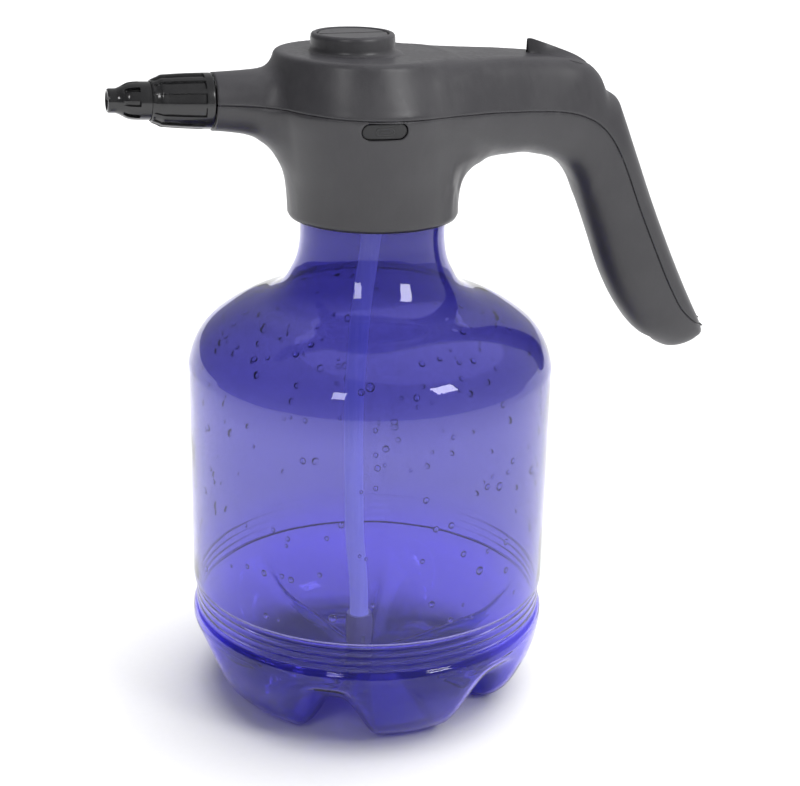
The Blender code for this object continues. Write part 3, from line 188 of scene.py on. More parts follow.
# %% [markdown]
# ## The head as a distance field
# The head is one flowing form: a round body that stands on the collar, and a beam that runs
# from the spout through the arch and down into the grip. A table of points can't run over both,
# because the beam leaves the body like a branch leaves a trunk. A distance field can: each form
# says how far outside it any point of space is, the lesser of the two joins them, and easing
# between the two numbers rolls a fillet into the corner. The surface is where the sum is zero.

# %% Sizes of the head
STEP = 1.1  # between the points where the field is read
FAR = 50.0  # stands for a cut that doesn't reach here
WALL, TONGUE_WALL = 2.2, 0.8
SEAM_GAP, SEAM_EDGE = 0.16, 0.22  # between the shells, and how deep their edges roll in
TONGUE_HALF = 1.5  # the strip behind the seam reaches this far to either side
COLLAR_Z = 207.9
TOP_Z, TOP_SLOPE, TOP_EDGE = 272.3, -0.028, 1.6
GRIP_END_X = 151.9
LEAN = -6.0  # the round body's top stands this far forward of its collar
# Fillets between body and beam: under and over the spout, under and over the grip's beam
FILLET_LOW, FILLET_HIGH, FILLET_UNDER, FILLET_BACK = 25.0, 9.0, 21.0, 14.0
BODY = (  # height and radius of the round body
    (200.0, 34.3), (209.0, 34.35), (221.0, 34.6), (232.0, 36.2), (242.0, 38.3), (252.3, 40.5),
    (256.0, 39.4), (268.0, 35.2), (277.0, 32.2),
)
# The beam's ribs: a low or front point, a high or back point, the half-width, its place as a
# share of the way down from the high point, how square the upper and lower halves are, and
# how much the upper half draws in.
RIBS = (
    ((-75.0, 244.8), (-75.0, 266.2), 10.8, 0.50, 2.0, 2.0, 0.00),
    ((-65.5, 244.3), (-64.5, 266.5), 11.0, 0.50, 2.0, 2.0, 0.00),
    ((-54.4, 242.8), (-53.8, 266.8), 11.9, 0.49, 2.1, 2.0, 0.00),
    ((-46.5, 240.6), (-46.0, 267.2), 13.0, 0.50, 2.4, 2.0, 0.02),
    ((-38.5, 239.5), (-38.5, 268.4), 14.6, 0.52, 3.4, 2.0, 0.06),
    ((-31.0, 239.0), (-31.0, 270.6), 18.0, 0.56, 5.0, 2.0, 0.12),
    ((-20.0, 238.5), (-20.0, 272.2), 28.0, 0.57, 7.0, 2.4, 0.16),
    ((-5.0, 238.0), (-5.0, 272.2), 35.0, 0.57, 7.0, 2.4, 0.18),
    ((12.0, 238.0), (12.0, 271.8), 36.2, 0.57, 7.0, 2.4, 0.20),
    ((22.0, 236.0), (22.0, 271.5), 33.5, 0.55, 8.0, 2.4, 0.21),
    ((31.0, 233.0), (31.0, 271.2), 30.6, 0.50, 8.0, 2.4, 0.22),
    ((38.5, 231.0), (38.0, 271.0), 27.8, 0.49, 8.0, 2.4, 0.23),
    ((44.0, 230.0), (45.0, 270.8), 25.6, 0.49, 8.0, 2.4, 0.24),
    ((50.0, 230.1), (52.0, 270.6), 23.8, 0.49, 8.0, 2.5, 0.25),
    ((59.5, 230.6), (61.0, 270.2), 21.4, 0.51, 7.0, 2.6, 0.26),
    ((68.5, 229.2), (72.0, 269.4), 18.9, 0.51, 6.0, 2.6, 0.26),
    ((76.0, 227.0), (81.0, 268.2), 17.2, 0.50, 5.0, 2.6, 0.22),
    ((82.0, 222.8), (88.4, 265.9), 15.9, 0.48, 4.0, 2.5, 0.17),
    ((86.5, 216.5), (93.8, 261.6), 15.2, 0.44, 3.2, 2.5, 0.12),
    ((89.5, 209.5), (97.6, 255.2), 14.8, 0.38, 2.7, 2.5, 0.08),
    ((91.4, 204.9), (103.6, 251.0), 14.5, 0.40, 2.4, 2.4, 0.04),
    ((92.4, 202.4), (105.2, 247.4), 14.4, 0.38, 2.4, 2.4, 0.02),
    ((94.5, 197.0), (113.1, 228.5), 14.2, 0.33, 2.3, 2.4, 0.00),
    ((97.2, 190.0), (122.2, 207.0), 13.9, 0.32, 2.3, 2.4, 0.00),
    ((102.6, 176.2), (130.3, 189.2), 13.8, 0.30, 2.3, 2.4, 0.00),
    ((110.1, 162.2), (137.3, 174.8), 13.6, 0.30, 2.3, 2.4, 0.00),
    ((119.6, 150.0), (144.2, 161.4), 12.9, 0.28, 2.3, 2.4, 0.00),
    ((128.8, 143.3), (148.8, 153.0), 11.4, 0.25, 2.2, 2.2, 0.00),
    ((137.9, 139.7), (151.2, 148.4), 8.8, 0.25, 2.0, 2.0, 0.00),
    ((145.0, 140.4), (151.6, 147.0), 5.4, 0.30, 2.0, 2.0, 0.00),
    ((149.3, 141.8), (151.6, 144.8), 2.4, 0.40, 2.0, 2.0, 0.00),
)
SEAM = (  # where the two shells meet, seen from the side
    (-80.0, 256.2), (-66.5, 255.7), (-54.0, 255.0), (-40.0, 254.2), (-22.0, 253.1), (0.0, 252.4),
    (29.0, 251.8), (45.0, 251.0), (60.0, 250.0), (72.0, 248.8), (80.0, 247.2), (88.0, 244.2),
    (94.0, 240.0), (99.0, 234.0), (104.0, 225.0), (112.0, 206.8), (121.5, 186.5),
    (129.5, 170.5), (136.0, 160.0), (143.5, 153.3), (152.5, 149.4), (160.0, 147.0),
)


# %% How far a point is outside the round body
def body_distance(x, y, z):
    """Distance from a leaning axis less the radius at that height, then cut by the sloping top."""
    middle = LEAN * ease(COLLAR_Z, TOP_Z, z)
    radius = through(BODY, z)
    side = np.hypot(x - middle, y) - radius
    top = z - (TOP_Z + TOP_SLOPE * x)
    return rounded_corner(side, top, TOP_EDGE)


def rounded_corner(a, b, radius):
    """Inside both a and b, with their edge rolled over to a radius."""
    past = np.hypot(np.maximum(a + radius, 0), np.maximum(b + radius, 0))
    return np.minimum(np.maximum(a, b), -radius) + past


# %% How far a point is outside the beam
def spread_ribs(count):
    """The ribs' seven measures read at many places along the beam."""
    table = np.array([[*low, *high, *rest] for low, high, *rest in RIBS])
    middles = (table[:, :2] + table[:, 2:4]) / 2
    travelled = np.concatenate([[0], np.cumsum(np.linalg.norm(np.diff(middles, axis=0), axis=1))])
    return through(np.hstack([travelled[:, None], table]), np.linspace(0, travelled[-1], count))


def nearest_rib(x, z, ribs):
    """For each point of the side view, the rib through it (a fraction between two) and the share.

    A rib is a straight line from low to high. The point's offset from that line changes sign
    between the two ribs that it lies between, and the share runs 0 at low to 1 at high.
    """
    low, run = ribs[:, :2], ribs[:, 2:4] - ribs[:, :2]
    length = np.hypot(run[:, 0], run[:, 1])
    px, pz = x[..., None] - low[:, 0], z[..., None] - low[:, 1]
    aside = (px * run[:, 1] - pz * run[:, 0]) / length
    share = (px * run[:, 0] + pz * run[:, 1]) / length**2
    beyond = np.maximum(np.maximum(-share, share - 1), 0) * length
    best = np.argmin(np.hypot(aside, 0.3 * beyond), axis=-1)
    best = np.clip(best, 1, len(ribs) - 2)[..., None]
    here = np.take_along_axis(aside, best, -1)[..., 0]
    fore = np.take_along_axis(aside, best - 1, -1)[..., 0]
    aft = np.take_along_axis(aside, best + 1, -1)[..., 0]
    shift = np.clip(2 * here / np.where(np.abs(fore - aft) > 1e-6, fore - aft, 1e-6), -1, 1)
    return best[..., 0] + shift, here + shift * (aft - fore) / 2


def beam_distance(x, y, z):
    """A rib's section is |y/w|^n + |q|^n = 1, with q from -1 at its low point to 1 at its high.

    The n-th root of the left side less 1 is zero on the surface. Dividing by the length of its
    gradient, taken on the grid, makes it a distance.
    """
    ribs = spread_ribs(500)
    flat_x, flat_z = x[:, 0, :], z[:, 0, :]
    rows = [nearest_rib(a, b, ribs) for a, b in zip(flat_x, flat_z)]
    place = np.stack([row[0] for row in rows])
    past_end = np.abs(np.stack([row[1] for row in rows]))
    numbers = np.arange(len(ribs))
    low_x, low_z, high_x, high_z, half, seam, up, down, draw = (
        np.interp(place, numbers, column) for column in ribs.T
    )
    run_x, run_z = high_x - low_x, high_z - low_z
    share = ((flat_x - low_x) * run_x + (flat_z - low_z) * run_z) / (run_x**2 + run_z**2)
    rise = share - (1 - seam)
    q = np.where(rise >= 0, rise / seam, rise / (1 - seam))
    square = np.where(rise >= 0, up, down)[:, None, :]
    width = (half * (1 - draw * np.clip(q, 0, 1)))[:, None, :]
    q = np.abs(q)[:, None, :]
    value = (np.abs(y) / width) ** square + q**square
    value = value ** (1 / square) - 1 + (past_end / half)[:, None, :]
    return value / np.maximum(gradient_length(value), 0.02)


def gradient_length(value):
    """The root of the sum of the squared slopes along the grid's three ways."""
    return np.sqrt(sum(part**2 for part in np.gradient(value, STEP)))


# %% The field of the whole head
def head_field():
    """The lesser of the two distances, eased over a fillet where the two surfaces cross.

    Where they run side by side, their gradients agree and no easing is wanted, so its width
    is the fillet's times (1 - the cosine between the gradients).
    """
    x = np.arange(-72.0, 156.0, STEP)[:, None, None]
    y = np.arange(-45.1, 45.2, STEP)[None, :, None]
    z = np.arange(136.0, 276.0, STEP)[None, None, :]
    shape = np.broadcast_shapes(x.shape, y.shape, z.shape)
    flat = np.ones((1, 1, 1))
    beam = beam_distance(x + 0 * z, y * flat, z + 0 * x)
    body = body_distance(x, y, z)
    body = np.broadcast_to(np.where(z > COLLAR_Z - 8, body, 60.0), shape)
    slopes_beam = np.stack(np.gradient(beam, STEP))
    slopes_body = np.stack(np.gradient(body, STEP))
    cosine = (slopes_beam * slopes_body).sum(0)
    cosine /= np.linalg.norm(slopes_beam, axis=0) * np.linalg.norm(slopes_body, axis=0) + 1e-6
    front = FILLET_LOW + (FILLET_HIGH - FILLET_LOW) * ease(246, 262, z)
    back = FILLET_UNDER + (FILLET_BACK - FILLET_UNDER) * ease(238, 252, z)
    reach = front + (back - front) * ease(-30, 30, x)
    width = reach * np.clip(1 - cosine, 0, 1) + 1e-3
    near = np.maximum(width - np.abs(beam - body), 0) / width
    joined = np.minimum(beam, body) - near**2 * width / 4
    joined[[0, -1]] = joined[:, [0, -1]] = joined[:, :, [0, -1]] = 1.0
    return joined, np.array([x[0, 0, 0], y[0, 0, 0], z[0, 0, 0]])


FIELD, FIELD_CORNER = head_field()
print("the field is read at", FIELD.size, "points")

# %% [markdown]
# ## From the field to a mesh
# A net is laid over the zero surface: each cell of the grid that the surface passes through gets
# one point, the mean of the places where the surface crosses the cell's edges, and each crossed
# edge gets one four-sided face through the four cells round it.

# %% The net
def net(field, corner):
    """Points and faces of the surface where the field is zero, faces outward."""
    sizes = np.array(field.shape) - 1
    total = np.zeros((sizes.prod(), 3))
    count = np.zeros(sizes.prod())
    quads = []
    for axis in range(3):
        first = np.moveaxis(field, axis, 0)[:-1]
        second = np.moveaxis(field, axis, 0)[1:]
        crossed = np.moveaxis((first < 0) != (second < 0), 0, axis)
        where = np.argwhere(crossed)
        a = field[tuple(where.T)]
        b = field[tuple((where + np.eye(3, dtype=int)[axis]).T)]
        point = where + np.eye(3)[axis] * (a / (a - b))[:, None]
        u, v = [(axis + 1) % 3, (axis + 2) % 3]
        ring = []
        for du, dv in ((0, 0), (-1, 0), (-1, -1), (0, -1)):
            cell = where.copy()
            cell[:, u] += du
            cell[:, v] += dv
            number = np.ravel_multi_index(tuple(cell.T), tuple(sizes))
            for k in range(3):
                total[:, k] += np.bincount(number, point[:, k], len(total))
            count += np.bincount(number, minlength=len(count))
            ring.append(number)
        ring = np.stack(ring, -1)
        quads.append(np.where((a < 0)[:, None], ring, ring[:, ::-1]))
    used = count > 0
    label = np.cumsum(used) - 1
    points = total[used] / count[used][:, None] * STEP + corner
    return points, label[np.vstack(quads)]


HEAD_POINTS, HEAD_QUADS = net(FIELD, FIELD_CORNER)
HEAD_POINTS[:, 0] = np.minimum(HEAD_POINTS[:, 0], GRIP_END_X)
HEAD = (HEAD_POINTS, np.vstack([HEAD_QUADS[:, [0, 1, 2]], HEAD_QUADS[:, [0, 2, 3]]]))
print("the head's surface has", len(HEAD[1]), "triangles")

# %% [markdown]
# ## Cutting the surface
# The two shells meet at a seam, and holes are cut for the collar, spout, button, port and
# screws. Each cut is a number that is positive on the side that stays. Triangles that it crosses
# are split exactly where it is zero, so the edge is a clean line however coarse the net is.

# %% Cutting by a number
def weld(points, triangles):
    """Points in one place become one, and triangles left without area go."""
    _, first, number = np.unique(np.round(points, 5), axis=0, return_index=True,
                                 return_inverse=True)
    triangles = number.reshape(-1)[triangles]
    a, b, c = triangles.T
    return points[first], triangles[(a != b) & (b != c) & (c != a)]


def snap(points, triangles, measure, reach):
    """Moves points that are nearly on the line onto it, along the surface, so no sliver is cut.

    A step of -value * t / |t|^2 brings the measure to zero, where t is its gradient with the
    part along the surface's normal taken out.
    """
    value = measure(points)
    near = np.flatnonzero(np.abs(value) < reach)
    if len(near):
        some, tiny = points[near], 1e-3
        slope = np.stack([(measure(some + tiny * way) - value[near]) / tiny
                          for way in np.eye(3)], -1)
        facing = normals(points, triangles)[near]
        slope -= (slope * facing).sum(1)[:, None] * facing
        length = (slope**2).sum(1)
        near, slope, length = near[length > 0.4], slope[length > 0.4], length[length > 0.4]
        points, value = points.copy(), value.copy()
        points[near] -= (value[near] / length)[:, None] * slope
        value[near] = 0.0
    return points, value


def split(points, triangles, measure, reach=0.28):
    """The same surface with an edge wherever the measure passes through zero."""
    points, value = snap(points, triangles, measure, reach)
    sign = value[triangles] >= 0
    mixed = sign.any(1) & ~sign.all(1)
    cut, rest = triangles[mixed], triangles[~mixed]
    if len(cut):
        odd = sign[mixed] == (sign[mixed].sum(1) == 1)[:, None]
        turn = (np.argmax(odd, 1)[:, None] + np.arange(3)) % 3
        a, b, c = np.take_along_axis(cut, turn, 1).T
        pairs = np.stack([np.stack([a, b], -1), np.stack([a, c], -1)], 1)
        edges, which = np.unique(np.sort(pairs, -1).reshape(-1, 2), axis=0, return_inverse=True)
        low, high = value[edges[:, 0]], value[edges[:, 1]]
        share = (low / (low - high))[:, None]
        fresh = points[edges[:, 0]] * (1 - share) + points[edges[:, 1]] * share
        ab, ac = (which.reshape(-1, 2) + len(points)).T
        made = [np.stack(t, -1) for t in ((a, ab, ac), (ab, b, c), (ab, c, ac))]
        points, triangles = np.vstack([points, fresh]), np.vstack([rest, *made])
    return weld(points, triangles)


def keep(surface, measure):
    """The part of a surface where measure(points) is positive."""
    points, triangles = split(*surface, measure)
    staying = triangles[measure(points[triangles].mean(1)) > 0]
    used, numbers = np.unique(staying, return_inverse=True)
    return points[used], numbers.reshape(-1, 3)


def normals(points, triangles):
    """Each point's normal: the sum of its triangles' cross products, made one long."""
    a, b, c = (points[triangles[:, k]] for k in range(3))
    cross = np.cross(b - a, c - a)
    total = np.stack([
        sum(np.bincount(triangles[:, k], cross[:, axis], len(points)) for k in range(3))
        for axis in range(3)
    ], -1)
    return total / np.maximum(np.linalg.norm(total, axis=1), 1e-12)[:, None]


def soften(surface, measure, width, depth):
    """Rolls the surface in near the edge where measure is 0, by depth (1 - measure / width)^2."""
    points, triangles = split(*surface, lambda p: measure(p) - width)
    fade = np.clip(1 - measure(points) / width, 0, 1) ** 2
    return points - normals(points, triangles) * (depth * fade)[:, None], triangles


# %% What each cut measures
def seam_side(points):
    """How far a point lies above the seam line in the side view, square to the line."""
    line = np.asarray(SEAM, float)
    along = np.concatenate([[0], np.cumsum(np.hypot(*np.diff(line, axis=0).T))])
    fine = through(np.hstack([along[:, None], line]), np.linspace(0, along[-1], 900))
    run = np.gradient(fine, axis=0)
    across = np.stack([-run[:, 1], run[:, 0]], -1) / np.hypot(*run.T)[:, None]
    found = np.empty(len(points))
    for start in range(0, len(points), 20000):
        some = points[start:start + 20000][:, [0, 2]]
        away = some[:, None, :] - fine
        near = np.argmin((away**2).sum(-1), 1)
        found[start:start + 20000] = (away[np.arange(len(some)), near] * across[near]).sum(-1)
    return found


MOUTH = np.array([-65.0, 0.0, 255.6])
RISE = math.radians(2.5)
NOZZLE_WAY = np.array([-math.cos(RISE), 0.0, math.sin(RISE)])
BUTTON = np.array([-9.0, 0.0])
WELL_R = 14.0


def behind_mouth(points):
    """How far a point is behind the spout's mouth, along the nozzle's axis."""
    return -(points - MOUTH) @ NOZZLE_WAY


def above_collar(points):
    return np.where(points[:, 0] < 60, points[:, 2] - COLLAR_Z, FAR)


def outside_well(points):
    away = np.hypot(points[:, 0] - BUTTON[0], points[:, 1]) - WELL_R
    return np.where(points[:, 2] > TOP_Z - 12, away, FAR)


PORT = np.array([-8.1, 248.7])
PORT_LENGTH, PORT_HEIGHT, PORT_CLEAR = 17.0, 5.9, 0.4


def oval_distance(x, z, length, height):
    """How far a point of the side view is outside a level oval with round ends."""
    run = (length - height) / 2
    return np.hypot(np.maximum(np.abs(x) - run, 0), z) - height / 2


SEAT_R = 3.6
SCREWS = (((60.0, 229.8), 0.0), ((127.0, 144.6), math.radians(36.0)))


def outside_screws(points):
    """Distance from each screw's axis less the seat's radius, near the place where it enters."""
    nearest = np.full(len(points), FAR)
    for (x, z), lean in SCREWS:
        away = points - (x, 0.0, z)
        along = away[:, 0] * math.sin(lean) + away[:, 2] * math.cos(lean)
        across = np.hypot(away[:, 0] * math.cos(lean) - away[:, 2] * math.sin(lean), away[:, 1])
        nearest = np.where(np.abs(along) < 6.0, np.minimum(nearest, across - SEAT_R), nearest)
    return nearest


def outside_port(points):
    away = oval_distance(points[:, 0] - PORT[0], points[:, 2] - PORT[1],
                         PORT_LENGTH + 2 * PORT_CLEAR, PORT_HEIGHT + 2 * PORT_CLEAR)
    return np.where(points[:, 1] < -20, away, FAR)


print("the head's surface spans", np.ptp(HEAD_POINTS, axis=0).round(1), "mm")

# %% The two shells
BARE = keep(HEAD, behind_mouth)
UPPER = keep(BARE, lambda p: seam_side(p) - SEAM_GAP / 2)
LOWER = keep(BARE, lambda p: -seam_side(p) - SEAM_GAP / 2)
TONGUE = keep(keep(BARE, lambda p: TONGUE_HALF - seam_side(p)),
              lambda p: TONGUE_HALF + seam_side(p))
TONGUE = (TONGUE[0] - TONGUE_WALL * normals(*TONGUE), TONGUE[1])
TONGUE = keep(keep(TONGUE, outside_port), lambda p: behind_mouth(p) - 1.0)
UPPER = keep(UPPER, outside_well)
LOWER = keep(keep(keep(LOWER, above_collar), outside_port), outside_screws)
UPPER = soften(UPPER, lambda p: seam_side(p) - SEAM_GAP / 2, 0.6, SEAM_EDGE)
LOWER = soften(LOWER, lambda p: -seam_side(p) - SEAM_GAP / 2, 0.6, SEAM_EDGE)
LOWER = soften(LOWER, above_collar, 1.2, 0.6)
LOWER = soften(LOWER, outside_port, 0.45, 0.2)
LOWER = soften(LOWER, outside_screws, 0.7, 0.25)
print("upper shell", len(UPPER[1]), "triangles, lower shell", len(LOWER[1]))


def walled(thing, thickness):
    """Gives an open surface a wall on its inner side."""
    wall = thing.modifiers.new("wall", "SOLIDIFY")
    wall.thickness = thickness * MM
    wall.offset = -1
    return thing


for name, surface, wall, node in (("upper_shell_form", UPPER, WALL, "upper_shell"),
                                  ("lower_shell_form", LOWER, WALL, "lower_shell"),
                                  ("seam_tongue", TONGUE, TONGUE_WALL, None)):
    form = walled(smooth(as_object(name, *surface)), wall)
    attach(form, "head")
    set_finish(form, "charcoal_abs")
    if node:
        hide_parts(node)

# %% [markdown]
# ## Tables of points
# Everything else that turns is a table: rows along a profile, columns round an axis. The
# bottle, the nozzle's two caps, the rim, the button, the port and the tube all go through the
# same step, which also closes the poles and makes sure that the faces look outward.

# %% From a table to a closed surface
def closed(table, close_rows=True, close_columns=True):
    """A table of points (rows, columns, 3) as triangles that face outward.

    The volume that triangles a, b, c close is the sum of a . (b x c) / 6. It is negative when
    they face inward, and then each is turned over.
    """
    quads = cells(*table.shape[:2], close_rows, close_columns)
    triangles = np.vstack([quads[:, [0, 1, 2]], quads[:, [0, 2, 3]]])
    points, triangles = weld(table.reshape(-1, 3), triangles)
    a, b, c = (points[triangles[:, k]] for k in range(3))
    if np.einsum("ij,ij->", a, np.cross(b, c)) < 0:
        triangles = triangles[:, ::-1]
    return points, triangles


def lathe(profile, count, centre=(0.0, 0.0)):
    """A closed ring of (radius, z) points turned about the vertical line through centre."""
    profile = np.asarray(profile, float)
    turn = np.arange(count) * 2 * math.pi / count
    radius, z = profile[:, :1], profile[:, 1:]
    table = [radius * np.cos(turn) + centre[0], radius * np.sin(turn) + centre[1], z + 0 * turn]
    return closed(np.stack(table, -1))


def piece(name, surface, body, slot, replacing=(), sharp_degrees=35):
    """A finished piece: its mesh, the body that it rides on, its slot and what it stands for."""
    made = smooth(as_object(name, *surface), sharp_degrees)
    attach(made, body)
    if replacing:
        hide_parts(*replacing)
    if slot:
        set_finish(made, slot)
    return made


def spread(*stops):
    """Places from stop to stop: (start, steps), (next, steps), ... (end,)."""
    pairs = zip(stops[:-1], stops[1:])
    runs = [np.linspace(a[0], b[0], a[1], endpoint=False) for a, b in pairs]
    return np.concatenate(runs + [[stops[-1][0]]])


# %% [markdown]
# ## The bottle
# The wall is one radius for each height, except in two places. The base stands on six feet, so
# its height runs between a foot's curve and a valley's as the angle goes round. The finish has a
# screw ridge, which is a bump that climbs one pitch per turn. The inside is the same table
# moved inward along the surface's own normals.

# %% The bottle's curves
FEET = 6
AROUND = 36 * FEET
PET_WALL = 1.3
HOOP_Z, HOOP_PITCH, HOOP_HEIGHT = (39.7, 50.2), 3.5, 0.4
FINISH_Z, FINISH_R, MOUTH_Z = 209.5, 28.2, 229.0
RIDGE_PITCH, RIDGE_HEIGHT, RIDGE_HALF, RIDGE_TURNS = 4.0, 1.6, 0.75, 2.0
RIDGE_Z = FINISH_Z + 4.5
# radius, height on a foot, height in a valley
BASE = ((0.0, 8.6, 8.6), (7.0, 8.5, 8.5), (22.0, 7.4, 10.2), (36.0, 4.2, 13.4), (47.0, 0.7, 15.4),
        (51.0, 0.0, 16.2), (55.0, 0.6, 17.2), (60.0, 3.0, 19.4), (66.0, 8.8, 23.4),
        (71.0, 17.6, 27.6), (74.2, 27.0, 30.8), (75.3, 34.0, 34.0))
SIDE = ((34.0, 75.3), (36.4, 75.2), (37.9, 74.6), (38.7, 73.8), (39.6, 73.5), (50.3, 73.5),
        (51.2, 74.2), (52.0, 74.9), (53.4, 75.0), (145.5, 75.0), (150.5, 73.9), (155.5, 71.8),
        (160.4, 68.2), (165.0, 62.7), (170.0, 54.3), (174.5, 42.6), (179.0, 36.4), (184.0, 33.3),
        (189.0, 31.0), (194.0, 29.8), (199.0, 29.3), (207.5, 29.2), (209.0, 28.5),
        (209.8, FINISH_R), (228.4, FINISH_R), (MOUTH_Z, 27.6))


def bottle_radius(z):
    """The side's curve, with three hoops in the band: their height times sin^2 of pi z / pitch."""
    low, high = HOOP_Z
    hoops = np.sin(math.pi * (z - low) / HOOP_PITCH) ** 2 * ((z > low) & (z < high))
    return through(SIDE, z) + HOOP_HEIGHT * hoops


def ridge(z, turn, start_z, turns):
    """The screw's height over the wall: for each turn k, a bump round start + pitch (turn + k).

    The bump is 1 less the distance past its crest, cut to 0..1, and it fades out at both ends.
    """
    rise = 0.0
    for k in range(math.ceil(turns)):
        travelled = turn / (2 * math.pi) % 1 + k
        away = np.abs(z - start_z - RIDGE_PITCH * travelled)
        ends = ease(0, 0.17, travelled) * (1 - ease(turns - 0.17, turns, travelled))
        rise = rise + RIDGE_HEIGHT * np.clip((RIDGE_HALF - away) / 0.42 + 0.15, 0, 1) * ends
    return rise


# %% The bottle's two walls
def bottle_table():
    """The outer wall: rows from the base's middle up to the mouth, columns round the axis."""
    turn = np.arange(AROUND) * 2 * math.pi / AROUND - math.pi / 2
    pitch = 2 * math.pi / FEET
    off_foot = np.abs((turn + math.pi / 2 + pitch / 2) % pitch - pitch / 2)
    foot = 1 - ease(math.radians(13), math.radians(27.5), off_foot)
    knots = np.column_stack([np.arange(len(BASE)), BASE])
    base = through(knots, np.linspace(0, len(BASE) - 1, 92))[:-1]
    side_z = spread((34.0, 12), (38.0, 50), (53.5, 9), (144.0, 80), (200.0, 8), (208.8, 44),
                    (229.0,))
    radius = np.concatenate([base[:, 0], bottle_radius(side_z)])[:, None] + 0 * turn
    height = np.vstack([base[:, 1:2] * foot + base[:, 2:3] * (1 - foot),
                        side_z[:, None] + 0 * turn])
    screw = ridge(height, turn, RIDGE_Z, RIDGE_TURNS)
    return np.stack([(radius + screw) * np.cos(turn), (radius + screw) * np.sin(turn), height], -1)


def moved_in(table, depth):
    """The table moved inward by depth along its normals, which are down a row x round a column."""
    along = np.gradient(table, axis=0)
    round_it = np.roll(table, -1, 1) - np.roll(table, 1, 1)
    normal = np.cross(round_it, along)
    normal /= np.maximum(np.linalg.norm(normal, axis=-1), 1e-9)[..., None]
    normal[0] = (0.0, 0.0, -1.0)
    return table - normal * depth


def bottle_surface():
    """The outer wall up, the bore down, and every second row of the inner wall to its pole."""
    outer = bottle_table()
    below = outer[:, 0, 2] < 206.0
    inner = moved_in(outer, PET_WALL)[below][::-2]
    pole = 0 * inner[-1:] + (0, 0, inner[-1, 0, 2])
    turn = np.arange(AROUND) * 2 * math.pi / AROUND - math.pi / 2
    bore = np.array([(26.6, MOUTH_Z), (26.0, MOUTH_Z - 0.5), (26.0, 212.0), (26.6, 208.5)])
    bore = np.stack([bore[:, :1] * np.cos(turn), bore[:, :1] * np.sin(turn),
                     bore[:, 1:] + 0 * turn], -1)
    return closed(np.vstack([outer, bore, inner, pole]), close_rows=False)


BOTTLE = bottle_surface()
piece("bottle_form", BOTTLE, "bottle", "violet_pet", ["bottle"], 50)
print("the bottle has", len(BOTTLE[1]), "triangles and is", np.ptp(BOTTLE[0], 0).round(1), "mm")


# %% Drops of water on the inside of the wall
def droplets(count, seed):
    """Flat round caps: rings at 90, 62, 34, 0 and -12 degrees of a ball, 0.45 as deep as wide."""
    chance = np.random.default_rng(seed)
    turn = chance.uniform(0, 2 * math.pi, count)
    z = chance.uniform(58.0, 176.0, count)
    size = chance.choice([0.75, 1.0, 1.3, 1.75], count, p=[0.3, 0.3, 0.28, 0.12])
    step = 0.05
    lean = np.arctan((bottle_radius(z + step) - bottle_radius(z - step)) / (2 * step))
    out = np.stack([np.cos(turn), np.sin(turn), 0 * turn], -1)
    up = np.array([0.0, 0.0, 1.0])
    normal = out * np.cos(lean)[:, None] - up * np.sin(lean)[:, None]
    side = np.cross(up, out)
    high = np.cross(normal, side)
    middle = out * bottle_radius(z)[:, None] + up * z[:, None] - normal * PET_WALL
    tilt = np.radians((90, 62, 34, 0, -12))[:, None]
    angle = np.arange(14) * 2 * math.pi / 14
    flat_a, flat_b = np.cos(tilt) * np.cos(angle), np.cos(tilt) * np.sin(angle) * 1.08
    depth = -0.45 * np.sin(tilt) + 0 * angle
    parts = []
    for k in range(count):
        table = middle[k] + size[k] * (flat_a[..., None] * side[k] + flat_b[..., None] * high[k]
                                       + depth[..., None] * normal[k])
        end = np.broadcast_to(middle[k] + 0.1 * normal[k] * size[k], (1,) + table.shape[1:])
        parts.append(closed(np.vstack([table, end]), close_rows=False))
    return together(*parts)


drops = piece("droplets", droplets(240, 4), "bottle", None, (), 80)

# %% [markdown]
# ## The nozzle
# Both caps turn about the nozzle's axis, which rises a little. Their radius depends on how far
# along the axis and how far round a point is: the sleeve has twelve pressed-in panels, and the
# tip eight slots that open out at the cone.

# %% Along and round the nozzle's axis
NOZZLE_UP = np.array([math.sin(RISE), 0.0, math.cos(RISE)])
NOZZLE_SIDE = np.array([0.0, 1.0, 0.0])


def about_nozzle(along, radius, turn):
    """Mouth + along the way + radius (cos turn up + sin turn side)."""
    along, radius, turn = np.broadcast_arrays(along, radius, turn)
    return (MOUTH + along[..., None] * NOZZLE_WAY
            + (radius * np.cos(turn))[..., None] * NOZZLE_UP
            + (radius * np.sin(turn))[..., None] * NOZZLE_SIDE)


def sleeve_table():
    """Twelve panels, pressed in 0.85 mm, with a column of points on each edge."""
    offsets = np.array([-15, -12.5, -10.9, -10.3, -9.9, -9.5, -8.9, -6, -2, 2, 6, 8.9, 9.5, 9.9,
                        10.3, 10.9, 12.5])
    turn = np.radians((np.arange(12)[:, None] * 30 + 15 + offsets).ravel())
    off = np.abs(np.degrees(turn) % 30 - 15)
    along = spread((0.5, 1), (0.62, 2), (1.2, 5), (3.6, 8), (4.3, 24), (19.4, 6), (20.9, 10),
                   (23.5, 1), (23.9,))
    skin = [(0.5, 10.1), (0.62, 10.45), (1.2, 10.68), (19.4, 9.85), (20.3, 9.62), (20.9, 9.25),
            (23.5, 8.1), (23.9, 7.7)]
    radius = through(skin, along)[:, None]
    inside = 1 - ease(9.45, 10.35, off)
    open_ = ease(3.75, 4.15, along) * (1 - 0.25 * ease(17, 21, along))
    radius = radius - 0.85 * inside * open_[:, None] * (1 - ease(22.2, 23.9, along))[:, None]
    bore = np.array([(23.9, 7.5), (18.3, 7.5), (18.3, 6.3), (0.5, 6.3)])
    along = np.concatenate([along, bore[:, 0]])[:, None]
    return about_nozzle(along, np.vstack([radius, bore[:, 1:] + 0 * turn]), turn)


